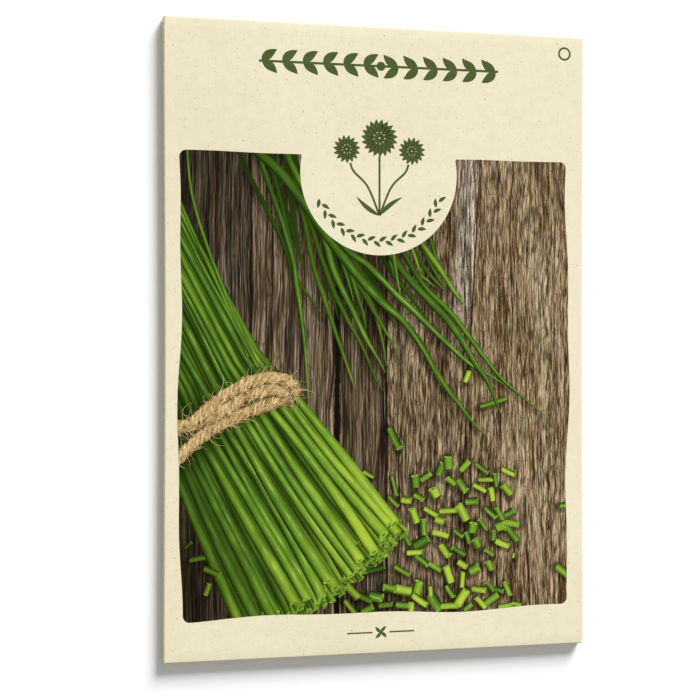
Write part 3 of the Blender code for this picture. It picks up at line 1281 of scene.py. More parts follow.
@dataclass(frozen=True)
class PictureOutline:
    """The picture's uneven outline, with a round paper badge that bites into its top."""

    left: float = -37.1
    right: float = 36.7
    bottom: float = -50.0
    top: float = 33.5
    corner: float = 1.3
    badge_x: float = -0.3
    badge_y: float = 30.4
    badge_radius: float = 14.9
    wobble: float = 0.34

    def _wave(self, at: float, phase: float) -> float:
        """Works out how far a side wanders.

        Args:
            at: The place along it.
            phase: What sets it apart from the other sides.

        Returns:
            The distance.
        """
        slow = math.sin(at / 9.5 + phase)
        quick = 0.55 * math.sin(at / 4.1 + 2.3 * phase)
        return self.wobble * (slow + quick)

    def inside(self, x: float, y: float) -> float:
        """Tells how far a place lies inside the picture.

        Args:
            x: The place across.
            y: The place along.

        Returns:
            The distance to the nearest edge, negative outside.
        """
        dx = min(x - self.left - self._wave(y, 0.4), self.right + self._wave(y, 1.9) - x)
        dy = min(y - self.bottom - self._wave(x, 3.1), self.top + self._wave(x, 4.4) * 0.6 - y)
        within = min(dx, dy)
        if dx < self.corner and dy < self.corner:
            within = self.corner - math.hypot(self.corner - dx, self.corner - dy)
        badge = math.hypot(x - self.badge_x, y - self.badge_y) - self.badge_radius
        return min(within, badge)


@dataclass
class ShadeMap:
    """The soft shade that printed things cast on the printed boards, kept on a grid of points.

    A dusk is a wide soft patch of shade: its middle's x and y, its reach in x and in y, and its strength.
    """

    outline: PictureOutline
    pitch: float = 0.4
    margin: float = 1.2
    drift: Point = (-0.35, -0.45)
    soft: float = 0.75
    dusk: tuple[Row, ...] = (
        (-37.0, -44.0, 18.0, 34.0, 0.95),
        (-37.0, 33.0, 21.0, 42.0, 0.66),
        (2.0, -51.0, 20.0, 16.0, 0.62),
        (-8.0, 20.0, 12.0, 18.0, 0.34),
    )
    columns: int = field(init=False)
    rows: int = field(init=False)
    light: np.ndarray = field(init=False)

    def __post_init__(self) -> None:
        """Sets up an unshaded grid that covers the picture."""
        self.columns = math.ceil((self.outline.right - self.outline.left + 2 * self.margin) / self.pitch) + 1
        self.rows = math.ceil((self.outline.top - self.outline.bottom + 2 * self.margin) / self.pitch) + 1
        x, y = np.meshgrid(*self.spot(np.arange(self.columns), np.arange(self.rows)))
        self.light = np.ones((self.rows, self.columns))
        for middle_x, middle_y, reach_x, reach_y, strength in self.dusk:
            near = np.clip(1 - np.hypot((x - middle_x) / reach_x, (y - middle_y) / reach_y), 0, 1)
            self.light *= 1 - strength * near * near * (3 - 2 * near)

    def spot(self, column: int | np.ndarray, row: int | np.ndarray) -> tuple[float | np.ndarray, ...]:
        """Returns the place of a grid point, or of whole columns and rows of them."""
        x = self.outline.left - self.margin + column * self.pitch
        return x, self.outline.bottom - self.margin + row * self.pitch

    def cast(
        self, line: Sequence[Point], halves: Sequence[float], strength: float, reach: float = 1.0
    ) -> None:
        """Darkens the boards beside a strip.

        Args:
            line: The points of its middle.
            halves: Half its width at each point.
            strength: How dark the shade is, from 0 to 1.
            reach: How far its shade falls, as a share of the usual one.
        """
        x0, y0 = self.spot(0, 0)
        line_x = np.array([p[0] for p in line]) + self.drift[0] * reach
        line_y = np.array([p[1] for p in line]) + self.drift[1] * reach
        soft = self.soft * reach
        pad = soft + max(halves)
        low_c = max(0, int((line_x.min() - pad - x0) / self.pitch))
        high_c = min(self.columns, int((line_x.max() + pad - x0) / self.pitch) + 2)
        low_r = max(0, int((line_y.min() - pad - y0) / self.pitch))
        high_r = min(self.rows, int((line_y.max() + pad - y0) / self.pitch) + 2)
        if low_c >= high_c or low_r >= high_r:
            return
        grid_x = x0 + np.arange(low_c, high_c) * self.pitch
        grid_y = y0 + np.arange(low_r, high_r) * self.pitch
        gx, gy = np.meshgrid(grid_x, grid_y)
        nearest = np.full(gx.shape, 1e9)
        for i in range(len(line) - 1):
            ax, ay, bx, by = line_x[i], line_y[i], line_x[i + 1], line_y[i + 1]
            run = (bx - ax) ** 2 + (by - ay) ** 2 + 1e-12
            share = np.clip(((gx - ax) * (bx - ax) + (gy - ay) * (by - ay)) / run, 0, 1)
            away = np.hypot(gx - ax - share * (bx - ax), gy - ay - share * (by - ay))
            half = halves[i] + (halves[i + 1] - halves[i]) * share
            nearest = np.minimum(nearest, away - half)
        fall = np.clip(1 - nearest / soft, 0, 1)
        fall = fall * fall * (3 - 2 * fall)
        part = self.light[low_r:high_r, low_c:high_c]
        part *= 1 - strength * fall

    def boards(self) -> tuple[InkShape, list[float]]:
        """Lays the boards' ground as a fine grid.

        Returns:
            The ground, and the shade at each of its points.
        """
        shape = InkShape("printed_boards")
        for row in range(self.rows):
            for column in range(self.columns):
                place = self.spot(column, row)
                shape.add_point(place, Ink.BOARDS.value, place, (1 - self.light[row, column], 0.0, 0.0))
        for row in range(self.rows - 1):
            for column in range(self.columns - 1):
                first = row * self.columns + column
                shape.faces.append((first, first + 1, first + 1 + self.columns, first + self.columns))
        shape.trim(self.outline.inside)
        return shape, [look[0] for look in shape.looks]


# ---- What the picture shows ----


@dataclass
class TiedBunch:
    """A bunch of chives tied with twine, its cut ends fanned towards the middle of the picture.

    A layer is its ink, its number of stalks, how deep in shade it lies and how far its cut ends stand out.
    """

    tie: Point = (-28.6, -14.2)
    heading: float = -58.0
    upper_lean: float = -4.5
    tie_half: float = 12.4
    fan_half: float = 17.8
    cut_reach: float = 36.9
    cut_round: float = 0.009
    cut_slant: float = 0.02
    upper_reach: float = 62.0
    upper_half: float = 10.7
    foot_half: float = 1.10
    tie_stalk_half: float = 0.70
    tip_half: float = 0.46
    steps_down: int = 26
    steps_up: int = 30
    layers: tuple[tuple[Ink, int, float, float], ...] = (
        (Ink.DEEP, 18, 0.66, 1.1),
        (Ink.MIDDLE, 17, 0.36, 0.5),
        (Ink.TOP, 16, 0.0, -0.4),
    )
    stub_count: int = 150
    stub_points: int = 6
    ground_steps: int = 40
    ground_lobes: int = 9
    ground_depth: float = 0.97
    strays: tuple[tuple[Point, ...], ...] = (
        ((-35.9, 34.5), (-35.0, 26.0), (-32.2, 16.5), (-28.0, 6.0), (-23.6, -4.0)),
        ((-38.0, 26.5), (-34.0, 17.5), (-29.5, 8.0), (-24.8, -3.0)),
        ((-38.0, 23.0), (-33.0, 13.0), (-27.5, 3.0), (-23.0, -5.0)),
    )
    seed: int = 5

    def __post_init__(self) -> None:
        """Starts the bunch's own run of chance."""
        self.draw = random.Random(self.seed)

    def place(self, along: float, aside: float) -> Point:
        """Turns a place in the bunch into one on the front.

        Args:
            along: How far below the tie it lies, negative above it.
            aside: How far it lies from the bunch's middle.

        Returns:
            The place on the front.
        """
        turn = math.radians(self.heading + self.upper_lean * smooth(0.5 - along / 10))
        return (
            self.tie[0] + along * math.cos(turn) - aside * math.sin(turn),
            self.tie[1] + along * math.sin(turn) + aside * math.cos(turn),
        )

    def reach(self, aside: float) -> float:
        """Returns how far below the tie the cut ends lie, at a distance aside from the middle."""
        return self.cut_reach - self.cut_round * aside**2 - self.cut_slant * aside

    def half_at(self, along: float) -> float:
        """Returns half the bunch's width at a distance below the tie, or above it when negative."""
        if along > 0:
            return self.tie_half + (self.fan_half - self.tie_half) * (along / self.cut_reach) ** 1.06
        return self.tie_half + (self.upper_half - self.tie_half) * smooth(-along / 9.0)

    def _stalk(self, aside: float, sway: float, cut: float) -> tuple[list[Point], list[float], list[float]]:
        """Works out one stalk from its cut end up through the tie and out of the picture.

        Args:
            aside: Where it passes the tie, from -1 to 1.
            sway: How far its cut end strays aside, in millimetres.
            cut: How far its cut end stands beyond the arc of the others.

        Returns:
            The points of its middle, half its width at each, and how deep in shade each lies.
        """
        reach = self.reach(aside * self.fan_half) + cut
        thick = self.draw.uniform(0.80, 1.12)
        bend = self.draw.uniform(-0.7, 0.7)
        top_sway = self.draw.uniform(-2.6, 2.6)
        darker = 0.40 * smooth(-aside * 0.9 + 0.1)
        line, halves, depths = [], [], []
        for step in range(self.steps_down + 1):
            share = 1 - step / self.steps_down
            along = reach * share
            side = aside * self.half_at(along) + sway * share + bend * math.sin(math.pi * share)
            line.append(self.place(along, side))
            wider = (self.foot_half - self.tie_stalk_half) * smooth(share * 1.1)
            halves.append(thick * (self.tie_stalk_half + wider))
            pressed = math.exp(-((along / 3.6) ** 2))
            depths.append(0.52 * pressed + darker + 0.16 * (1 - share))
        for step in range(1, self.steps_up + 1):
            share = step / self.steps_up
            along = -self.upper_reach * share
            side = aside * self.half_at(along) + top_sway * share**1.4 - bend * math.sin(math.pi * share)
            line.append(self.place(along, side))
            halves.append(thick * (self.tie_stalk_half + (self.tip_half - self.tie_stalk_half) * share))
            pressed = math.exp(-((along / 5.0) ** 2))
            depths.append(0.66 * pressed + 0.30 + darker * 0.6)
        return line, halves, depths

    def build(self, shade: ShadeMap) -> tuple[InkShape, InkShape]:
        """Lays the stalks in three layers and their cut ends.

        Args:
            shade: The map that the bunch darkens at its sides.

        Returns:
            The stalks and the cut ends.
        """
        stalks, ends = InkShape("printed_bunch"), InkShape("printed_cut_ends")
        self._ground(stalks, shade)
        for layer, (level, lanes, sunk, out) in enumerate(self.layers):
            for lane in range(lanes):
                aside = (2 * (lane + 0.5) / lanes - 1) * (0.96 + 0.05 * layer)
                aside += self.draw.uniform(-0.5, 0.5) / lanes
                sway = self.draw.uniform(-1.0, 1.0)
                cut = self.draw.uniform(-1.5, 0.6) + out
                line, halves, depths = self._stalk(aside, sway, cut)
                lift = level.value + lane % 3 * 2
                tint = 0.20 + 0.16 * aside + self.draw.uniform(-0.18, 0.20)
                number = self.draw.random()
                shaded = [min(self.ground_depth, 1 - (1 - depth) * (1 - sunk)) for depth in depths]
                stalks.strip(line, halves, lift, tint, shaded, number, 0.50)
                self._cut_end(ends, line, halves[0], lift + 1, 1 - (1 - sunk) * (1 - 0.4 * smooth(-aside)))
        self._stubs(stalks, ends)
        for index, points in enumerate(self.strays):
            line = through(points, 10)
            halves = [0.24 + 0.20 * step / (len(line) - 1) for step in range(len(line))]
            lift = Ink.TOP.value + 6.2 + 0.4 * index
            stalks.strip(line[::-1], halves[::-1], lift, 0.25, [0.32] * len(line), index / 3)
            shade.cast(line, halves, 0.5)
        return stalks, ends

    def _stubs(self, stalks: InkShape, ends: InkShape) -> None:
        """Adds the short visible ends of the stalks that lie under the others.

        Args:
            stalks: The shape that takes them.
            ends: The shape that takes their cut ends.
        """
        count = self.stub_points
        for _ in range(self.stub_count):
            aside = self.draw.uniform(-0.98, 0.98)
            at = aside * self.fan_half
            tip = self.reach(at) + self.draw.uniform(-1.2, 2.0)
            half = self.draw.uniform(0.4, 0.8)
            line = [self.place(tip - 0.8 * step, at * (1 - 0.012 * step)) for step in range(count)]
            dim = self.draw.uniform(0.15, 0.7)
            lift = Ink.BASE.value + 1 + self.draw.uniform(0.0, 12.0)
            tint = self.draw.uniform(0.2, 0.9)
            depths = [dim + 0.05 * step for step in range(count)]
            stalks.strip(line, [half] * count, lift, tint, depths, self.draw.random())
            self._cut_end(ends, line, half, lift + 0.5, dim * 0.8)

    def _ground(self, stalks: InkShape, shade: ShadeMap) -> None:
        """Lays a dark ground under the bunch, so that no board shows between its stalks.

        Args:
            stalks: The shape that takes it.
            shade: The map that it darkens beside the bunch.
        """
        lobes, steps = self.ground_lobes, self.ground_steps
        for lobe in range(lobes):
            aside = (2 * lobe / (lobes - 1) - 1) * 0.86
            foot = self.reach(aside * self.fan_half) - 2.0
            line, halves = [], []
            for step in range(steps + 1):
                along = foot - (foot + self.upper_reach) * step / steps
                half = self.half_at(along)
                line.append(self.place(along, aside * half))
                halves.append(half / lobes * 1.25)
            stalks.strip(line, halves, Ink.BASE.value + lobe % 2 * 0.5, 0.2, [self.ground_depth] * len(line))
            shade.cast(line[::3], [half * 1.05 for half in halves[::3]], 0.45, 3.0)

    def _cut_end(self, ends: InkShape, line: Sequence[Point], half: float, lift: float, depth: float) -> None:
        """Adds the pale cut end of one stalk, seen aslant.

        Args:
            ends: The shape that takes it.
            line: The points of the stalk's middle, the cut one first.
            half: Half the stalk's width.
            lift: Its height above the paper, in micrometres.
            depth: How deep in shade it lies.
        """
        (x0, y0), (x1, y1) = line[0], line[1]
        skew = math.atan2(y0 - y1, x0 - x1) + self.draw.uniform(-0.3, 0.3)
        radii = (half * self.draw.uniform(0.18, 0.48), half * self.draw.uniform(0.80, 0.97))
        ends.round_patch((x0, y0), radii, skew, lift, self.draw.random(), depth)


@dataclass
class Twine:
    """Rough jute twine laid in three turns round the bunch, wound from fibres and full of stray hairs.

    A turn is the points that its middle passes. Its strands follow each other at the pitch, and a fibre winds
    forward while it crosses the twine.
    """

    turns: tuple[tuple[Point, ...], ...] = (
        ((-40, -22.6), (-36.8, -20.4), (-33.6, -17.6), (-30, -15.2), (-25.5, -13.2), (-20.5, -11.4),
            (-16.6, -10.4)),
        ((-40, -15.2), (-36.8, -15.3), (-33, -14.6), (-29.6, -12.8), (-25.5, -10.6), (-21, -9),
            (-16.4, -9.7)),
        ((-34.8, -14.8), (-31.8, -12.2), (-28.4, -9.6), (-24.2, -7.5), (-20.2, -6.7), (-17.2, -7.7),
            (-15.6, -9.8)),
    )
    half_width: float = 1.22
    fibres: int = 560
    hairs: int = 130
    pitch: float = 1.35
    wind: float = 2.6
    fibre_half: float = 0.095
    fibre_steps: int = 7
    hair_steps: int = 8
    seed: int = 23

    def __post_init__(self) -> None:
        """Starts the twine's own run of chance."""
        self.draw = random.Random(self.seed)

    def build(self, shade: ShadeMap) -> tuple[InkShape, InkShape]:
        """Lays the twine.

        Args:
            shade: The map that the twine darkens beside the bunch.

        Returns:
            The twine's turns and its stray hairs.
        """
        twine, hairs = InkShape("printed_twine"), InkShape("printed_twine_hairs")
        for index, points in enumerate(self.turns):
            line = through(points, 8)
            lift = Ink.TWINE.value + index * 8
            body = [self.half_width * self._swell(step / (len(line) - 1)) for step in range(len(line))]
            under = [half * 0.95 for half in body]
            twine.strip([(x - 0.10, y - 0.22) for x, y in line], under, lift, 0.0, [0.0] * len(line))
            twine.strip(line, [half * 0.9 for half in body], lift + 1, 0.12, [0.05] * len(line))
            shade.cast(line[-10:], body[-10:], 0.6, 1.5)
            self._lay_fibres(twine, line, body, lift + 2)
            self._lay_hairs(hairs, line)
        return twine, hairs

    @staticmethod
    def _swell(share: float) -> float:
        """Returns how thick the twine is at a share of a turn's length: it swells and thins a little."""
        return 0.94 + 0.05 * math.cos(40 * share) + 0.04 * math.sin(17 * share)

    def _lay_fibres(self, twine: InkShape, line: Sequence[Point], body: Sequence[float], lift: float) -> None:
        """Covers one turn with fibres that wind round it, strand beside strand.

        Args:
            twine: The shape that takes them.
            line: The points of the turn's middle.
            body: Half the twine's width at each point.
            lift: The lowest fibre's height above the paper, in micrometres.
        """
        run = [0.0]
        for start, end in zip(line, line[1:]):
            run.append(run[-1] + math.dist(start, end))
        for fibre in range(self.fibres):
            off = self.draw.uniform(-1.0, 1.0)
            strand = self.draw.randrange(int(run[-1] / self.pitch))
            foot = (strand + 0.5 + 0.5 * off) * self.pitch - self.wind / 2
            first = self.draw.uniform(-0.02, 0.52)
            span = self.draw.uniform(0.30, 0.50)
            thick = self.fibre_half * self.draw.uniform(0.6, 1.4)
            fringe = self.draw.uniform(0.72, 1.14)
            wind = self.wind * self.draw.uniform(0.6, 1.5)
            points, halves, depths = [], [], []
            for step in range(self.fibre_steps + 1):
                turn = first + span * step / self.fibre_steps
                aside = -fringe * math.cos(math.pi * turn)
                at = min(max(foot + wind * turn, 0.0), run[-1] - 0.001)
                index = bisect.bisect_right(run, at) - 1
                (x0, y0), (x1, y1) = line[index], line[index + 1]
                length = run[index + 1] - run[index]
                share = (at - run[index]) / length
                reach = body[index] * aside / length
                x = x0 + (x1 - x0) * share - (y1 - y0) * reach
                y = y0 + (y1 - y0) * share + (x1 - x0) * reach
                points.append((x, y))
                halves.append(thick * math.sin(math.pi * (0.1 + 0.8 * step / self.fibre_steps)))
                depths.append(0.46 * abs(off) ** 2.5 + 0.16 * aside**2 + 0.16 * max(0.0, -aside))
            twine.strip(points, halves, lift + fibre % 6, self.draw.triangular(0.05, 1.12, 0.52), depths)

    def _lay_hairs(self, hairs: InkShape, line: Sequence[Point]) -> None:
        """Adds stray fibres that stand off one turn.

        Args:
            hairs: The shape that takes them.
            line: The points of the turn's middle.
        """
        steps = self.hair_steps
        for hair in range(self.hairs):
            index = self.draw.randrange(6, len(line) - 1)
            (x0, y0), (x1, y1) = line[index], line[index + 1]
            side = self.draw.choice((-1, 1))
            heading = math.atan2(y1 - y0, x1 - x0) + side * self.draw.uniform(0.15, 1.3)
            if self.draw.random() < 0.3:
                heading += math.pi
            length = self.draw.uniform(0.8, 3.4) * self.draw.uniform(0.5, 1.3)
            off = side * self.half_width * self.draw.uniform(-0.6, 0.95)
            start = (x0 - math.sin(heading) * off * 0.2, y0 + off)
            end = (start[0] + length * math.cos(heading), start[1] + length * math.sin(heading))
            hair_line = along_line(start, end, self.draw.uniform(-0.3, 0.3) * length, steps)
            thick = self.draw.uniform(0.025, 0.055)
            halves = [thick * (1 - 0.7 * step / steps) for step in range(steps + 1)]
            tone = self.draw.uniform(0.28, 0.80)
            hairs.strip(hair_line, halves, Ink.HAIRS.value + hair % 5, tone, [0.0] * (steps + 1))


@dataclass
class LooseStalks:
    """Long tapering stalks that fan out from behind the badge, the back ones first.

    A stalk is half its width, how deep in shade it lies, and the points that it passes out to its tip.
    """

    lines: tuple[tuple[float, float, tuple[Point, ...]], ...] = (
        (0.40, 0.62, ((-26.9, 34.6), (-24.6, 29.5), (-21.6, 23.8), (-18.6, 18), (-16.2, 11.7), (-13.4, 7.6),
            (-10.7, 3.9))),
        (0.45, 0.76, ((-18.2, 35), (-17.2, 27.5), (-16, 20), (-14.6, 12.5))),
        (0.40, 0.74, ((-20.5, 35), (-18.6, 26), (-16.6, 19.5), (-15, 13.5))),
        (0.48, 0.74, ((-16.5, 34), (-14.2, 25.5), (-12, 17), (-9.4, 8.5), (-8, 3.5))),
        (0.50, 0.78, ((-14.6, 30), (-12, 22), (-9.4, 14.6), (-7.6, 8))),
        (0.42, 0.74, ((-12.8, 26), (-9.6, 17), (-7.6, 10), (-6.6, 5))),
        (0.42, 0.72, ((-10.8, 23), (-6.6, 13.5), (-4.4, 7), (-3, 1.6))),
        (0.42, 0.76, ((-6, 20), (-2, 11.5), (0.6, 7), (3, 1.5))),
        (0.40, 0.66, ((-2, 19), (1.6, 13), (5.6, 8), (9, 3.6))),
        (0.38, 0.48, ((-21.8, 35.5), (-19.4, 27), (-17.6, 20), (-16.2, 13.5), (-15.2, 8))),
        (0.44, 0.40, ((-18, 35), (-15.3, 25.6), (-12.8, 13.5), (-10.7, 7.5), (-8.9, 2.1), (-6.5, -4.6),
            (-5, -8.8))),
        (0.42, 0.46, ((-16.4, 28), (-13.4, 21), (-11, 14.1), (-8.9, 8.7), (-6.5, 3.9), (-3.5, -1.5),
            (-1.1, -7), (0.5, -9.4))),
        (0.34, 0.42, ((-8, 19), (-4.7, 11.7), (-1.7, 6.3), (-0.5, 2.7), (0.5, -1.6), (1, -4.8))),
        (0.34, 0.44, ((-8.6, 18.5), (-5.3, 11.7), (-1.7, 5.7), (1.1, 1.1), (3.4, -3))),
        (0.36, 0.36, ((-8.2, 20), (-6.2, 13.4), (-4.7, 8.7), (-3.5, 5.1), (-2.8, 2.1))),
        (0.36, 0.26, ((-10.2, 20), (-7.8, 15), (-6.3, 10.9), (-5.2, 6.9))),
        (0.58, 0.18, ((-19, 36), (-16.2, 30.4), (-13.1, 24.4), (-10.7, 18.3), (-8.9, 12.3), (-5.9, 6.3),
            (-2.9, 0.3), (-1.1, -2.7), (0.9, -6.1))),
        (0.42, 0.20, ((-23.6, 35.5), (-20.4, 26.2), (-18.6, 21.3), (-16.5, 14.1), (-15.9, 9.9), (-15, 3.9),
            (-14.3, -2.1), (-13.9, -8.2), (-13.6, -11.8))),
        (0.36, 0.52, ((4.6, 19), (7.4, 14.6), (9.8, 11.6), (12.6, 8.8))),
        (0.34, 0.48, ((6.4, 19.5), (8.4, 16), (10.4, 12.5), (12.2, 9.6))),
        (0.30, 0.38, ((0.4, 18), (1.4, 15.6), (2.1, 13), (2.5, 11.4))),
        (0.32, 0.34, ((3.4, 17), (6, 13), (8.4, 11.3), (10.6, 9.6))),
        (0.36, 0.32, ((8.6, 21), (9.4, 18.8), (10.3, 16), (11.2, 13.6))),
        (0.52, 0.16, ((5.8, 20), (7.6, 18), (10, 14.9), (12.3, 11.7), (14.3, 8.7), (16.6, 6.2))),
        (0.32, 0.12, ((4.8, 19.5), (6, 16.5), (6.8, 14.4), (7.6, 12.3))),
        (0.52, 0.38, ((-6, 15.5), (-2, 10), (2, 5.6), (5, 2.6), (8, -1.3), (10, -4.9), (13.1, -9.6),
            (15.5, -12.4), (17.9, -15.5), (20.8, -18.3))),
        (0.76, 0.30, ((-25.4, 36), (-22.2, 33), (-18.6, 29.9), (-14, 24), (-10.1, 18.6), (-6.5, 14.1),
            (-2.9, 9.9), (0.7, 6.3), (4.3, 3.3), (8, -1.7), (10, -5.3), (11.9, -9.2))),
        (0.54, 0.06, ((-10, 20), (-5.9, 15.9), (-2.9, 13.9), (-0.5, 11.7), (3.1, 8.1), (6, 5.6), (10, 1.8),
            (13.9, -1.7), (17.5, -4.7), (20.6, -6.3), (24.4, -8.6))),
        (0.46, 0.24, ((2.6, 19), (6.4, 12.6), (9.2, 9), (13.1, 5.4), (16.7, 1.1), (19.8, -2.9), (23.4, -7.2),
            (27.3, -10.4), (32.1, -14.2))),
        (0.64, 0.24, ((-0.4, 19), (2.6, 14.6), (6, 10.5), (10, 6.6), (13.1, 3.4), (15.9, -0.5), (18.3, -4.5),
            (20.6, -7.6), (22.2, -11.2), (23.8, -14.9))),
        (0.32, 0.20, ((1.8, 18), (2.4, 15.4), (3, 11.5), (3.7, 8.1))),
    )
    slim: float = 1.10
    seed: int = 17

    def build(self, shade: ShadeMap) -> InkShape:
        """Lays the loose stalks.

        Args:
            shade: The map that they darken.

        Returns:
            The stalks.
        """
        draw = random.Random(self.seed)
        shape = InkShape("printed_loose_stalks")
        for number, (half, depth, points) in enumerate(self.lines):
            line = through(points, 7)
            last = len(line) - 1
            body = self.slim * half
            halves = [body * min(1.0, 1.5 * (1 - step / last) ** 0.6) + 0.02 for step in range(last + 1)]
            depths = [min(0.95, depth + 0.40 * (1 - step / last) ** 2) for step in range(last + 1)]
            tint = draw.uniform(0.02, 0.50)
            lift = Ink.STREWN.value + 0.7 * number
            shape.strip(line[::-1], halves[::-1], lift, tint, depths[::-1], draw.random())
            shade.cast(line, halves, 0.50, 1.1)
        return shape


@dataclass
class ChoppedPieces:
    """Short cut pieces of chive strewn over the boards, most of them in one heap.

    The foot is the left, right, low and high side of the strip that the other strewn ones lie in. A placed
    piece is its x and y, its angle in degrees, its length and half its width.
    """

    heap: Point = (14.8, -34.0)
    heap_radius: float = 11.5
    heap_count: int = 50
    foot: Row = (-6.0, 27.0, -49.8, -45.6)
    foot_count: int = 26
    tries: int = 9000
    headings: tuple[float, ...] = (1.35, 1.75, 2.4, -0.5, 0.1)
    half_widths: tuple[float, ...] = (0.48, 0.56, 0.64, 0.76, 0.94)
    tints: tuple[float, ...] = (0.1, 0.4, 0.55, 0.8, 1.0)
    depths: tuple[float, ...] = (0.0, 0.0, 0.12, 0.3)
    placed: tuple[Row, ...] = (
        (2.6, -18.0, -64.0, 4.2, 0.72),
        (16.6, -6.8, 68.0, 2.2, 0.55),
        (21.8, -11.6, 16.0, 5.4, 0.48),
        (2.6, -26.8, -76.0, 3.6, 0.42),
        (-2.4, -24.6, -30.0, 2.2, 0.36),
        (2.4, -29.6, -46.0, 2.6, 0.46),
        (24.8, -24.6, -26.0, 2.8, 0.52),
        (36.2, -31.2, 5.0, 2.0, 0.62),
        (35.8, -43.6, -40.0, 3.2, 0.78),
        (25.8, -40.4, 80.0, 0.9, 0.26),
        (4.0, -42.4, -30.0, 3.2, 0.5),
        (-1.0, -42.0, 12.0, 3.4, 0.46),
        (-33.6, -39.0, 8.0, 3.6, 0.5),
        (-31.4, -41.4, -24.0, 3.0, 0.55),
        (-32.2, -44.6, 70.0, 2.2, 0.5),
        (-35.6, -36.6, 40.0, 1.6, 0.3),
    )
    seed: int = 41

    def _strewn(self, draw: random.Random, outline: PictureOutline, bunch: TiedBunch) -> Iterable[Point]:
        """Yields places in the heap and along the foot of the picture that keep a little apart.

        Args:
            draw: The run of chance.
            outline: The picture's outline.
            bunch: The bunch that the pieces keep off.

        Yields:
            One place after another.
        """
        taken = [(x, y) for x, y, *_ in self.placed]
        left, right, low, high = self.foot
        found = 0
        for _ in range(self.tries):
            if found < self.heap_count:
                away = self.heap_radius * math.sqrt(draw.random())
                turn = draw.uniform(0, 2 * math.pi)
                spot = (self.heap[0] + away * math.cos(turn), self.heap[1] + away * math.sin(turn))
            elif found < self.heap_count + self.foot_count:
                spot = (draw.uniform(left, right), draw.uniform(low, high))
            else:
                return
            apart = draw.uniform(1.7, 2.6)
            if outline.inside(*spot) < -0.6 or self._on_bunch(spot, bunch):
                continue
            if all(math.hypot(spot[0] - x, spot[1] - y) > apart for x, y in taken):
                taken.append(spot)
                found += 1
                yield spot

    @staticmethod
    def _on_bunch(spot: Point, bunch: TiedBunch) -> bool:
        """Tells whether a place lies on the bunch.

        Args:
            spot: The place on the front.
            bunch: The bunch.

        Returns:
            Whether it does, or lies close beside it.
        """
        turn = math.radians(bunch.heading)
        dx, dy = spot[0] - bunch.tie[0], spot[1] - bunch.tie[1]
        along = dx * math.cos(turn) + dy * math.sin(turn)
        aside = -dx * math.sin(turn) + dy * math.cos(turn)
        return abs(aside) < bunch.half_at(along) + 0.6 and along < bunch.reach(aside) + 1.2

    def build(self, shade: ShadeMap, outline: PictureOutline, bunch: TiedBunch) -> tuple[InkShape, InkShape]:
        """Lays the pieces and their cut ends.

        Args:
            shade: The map that they darken.
            outline: The picture's outline.
            bunch: The bunch that they keep off.

        Returns:
            The pieces and their ends.
        """
        draw = random.Random(self.seed)
        pieces, ends = InkShape("printed_chopped"), InkShape("printed_chopped_ends")
        laid = [(x, y, math.radians(angle), length, half) for x, y, angle, length, half in self.placed]
        for x, y in self._strewn(draw, outline, bunch):
            angle = draw.choice(self.headings) + draw.gauss(0.0, 0.35)
            laid.append((x, y, angle, draw.uniform(1.7, 3.4), draw.choice(self.half_widths)))
        for number, (x, y, angle, length, half) in enumerate(laid):
            dx, dy = math.cos(angle) * length / 2, math.sin(angle) * length / 2
            line = along_line((x - dx, y - dy), (x + dx, y + dy), draw.uniform(-0.08, 0.08), 6)
            tint = draw.choice(self.tints)
            depth = draw.choice(self.depths)
            depth = depth + (0.25 if x < 4 else 0.0) + (0.3 if x < -20 else 0.0)
            lift = Ink.STREWN.value + number % 7 * 4
            halves = [half * 0.9, half, half, half, half, half, half * 0.92]
            pieces.strip(line, halves, lift, tint, [depth] * 7, draw.random())
            radii = (half * draw.uniform(0.16, 0.34), half * 0.95)
            ends.round_patch(line[-1], radii, angle + draw.uniform(-0.2, 0.2), lift + 2, tint, depth)
            shade.cast(line, [half] * 7, 0.72, 0.8)
        return pieces, ends


# ---- Plain printed ornaments ----


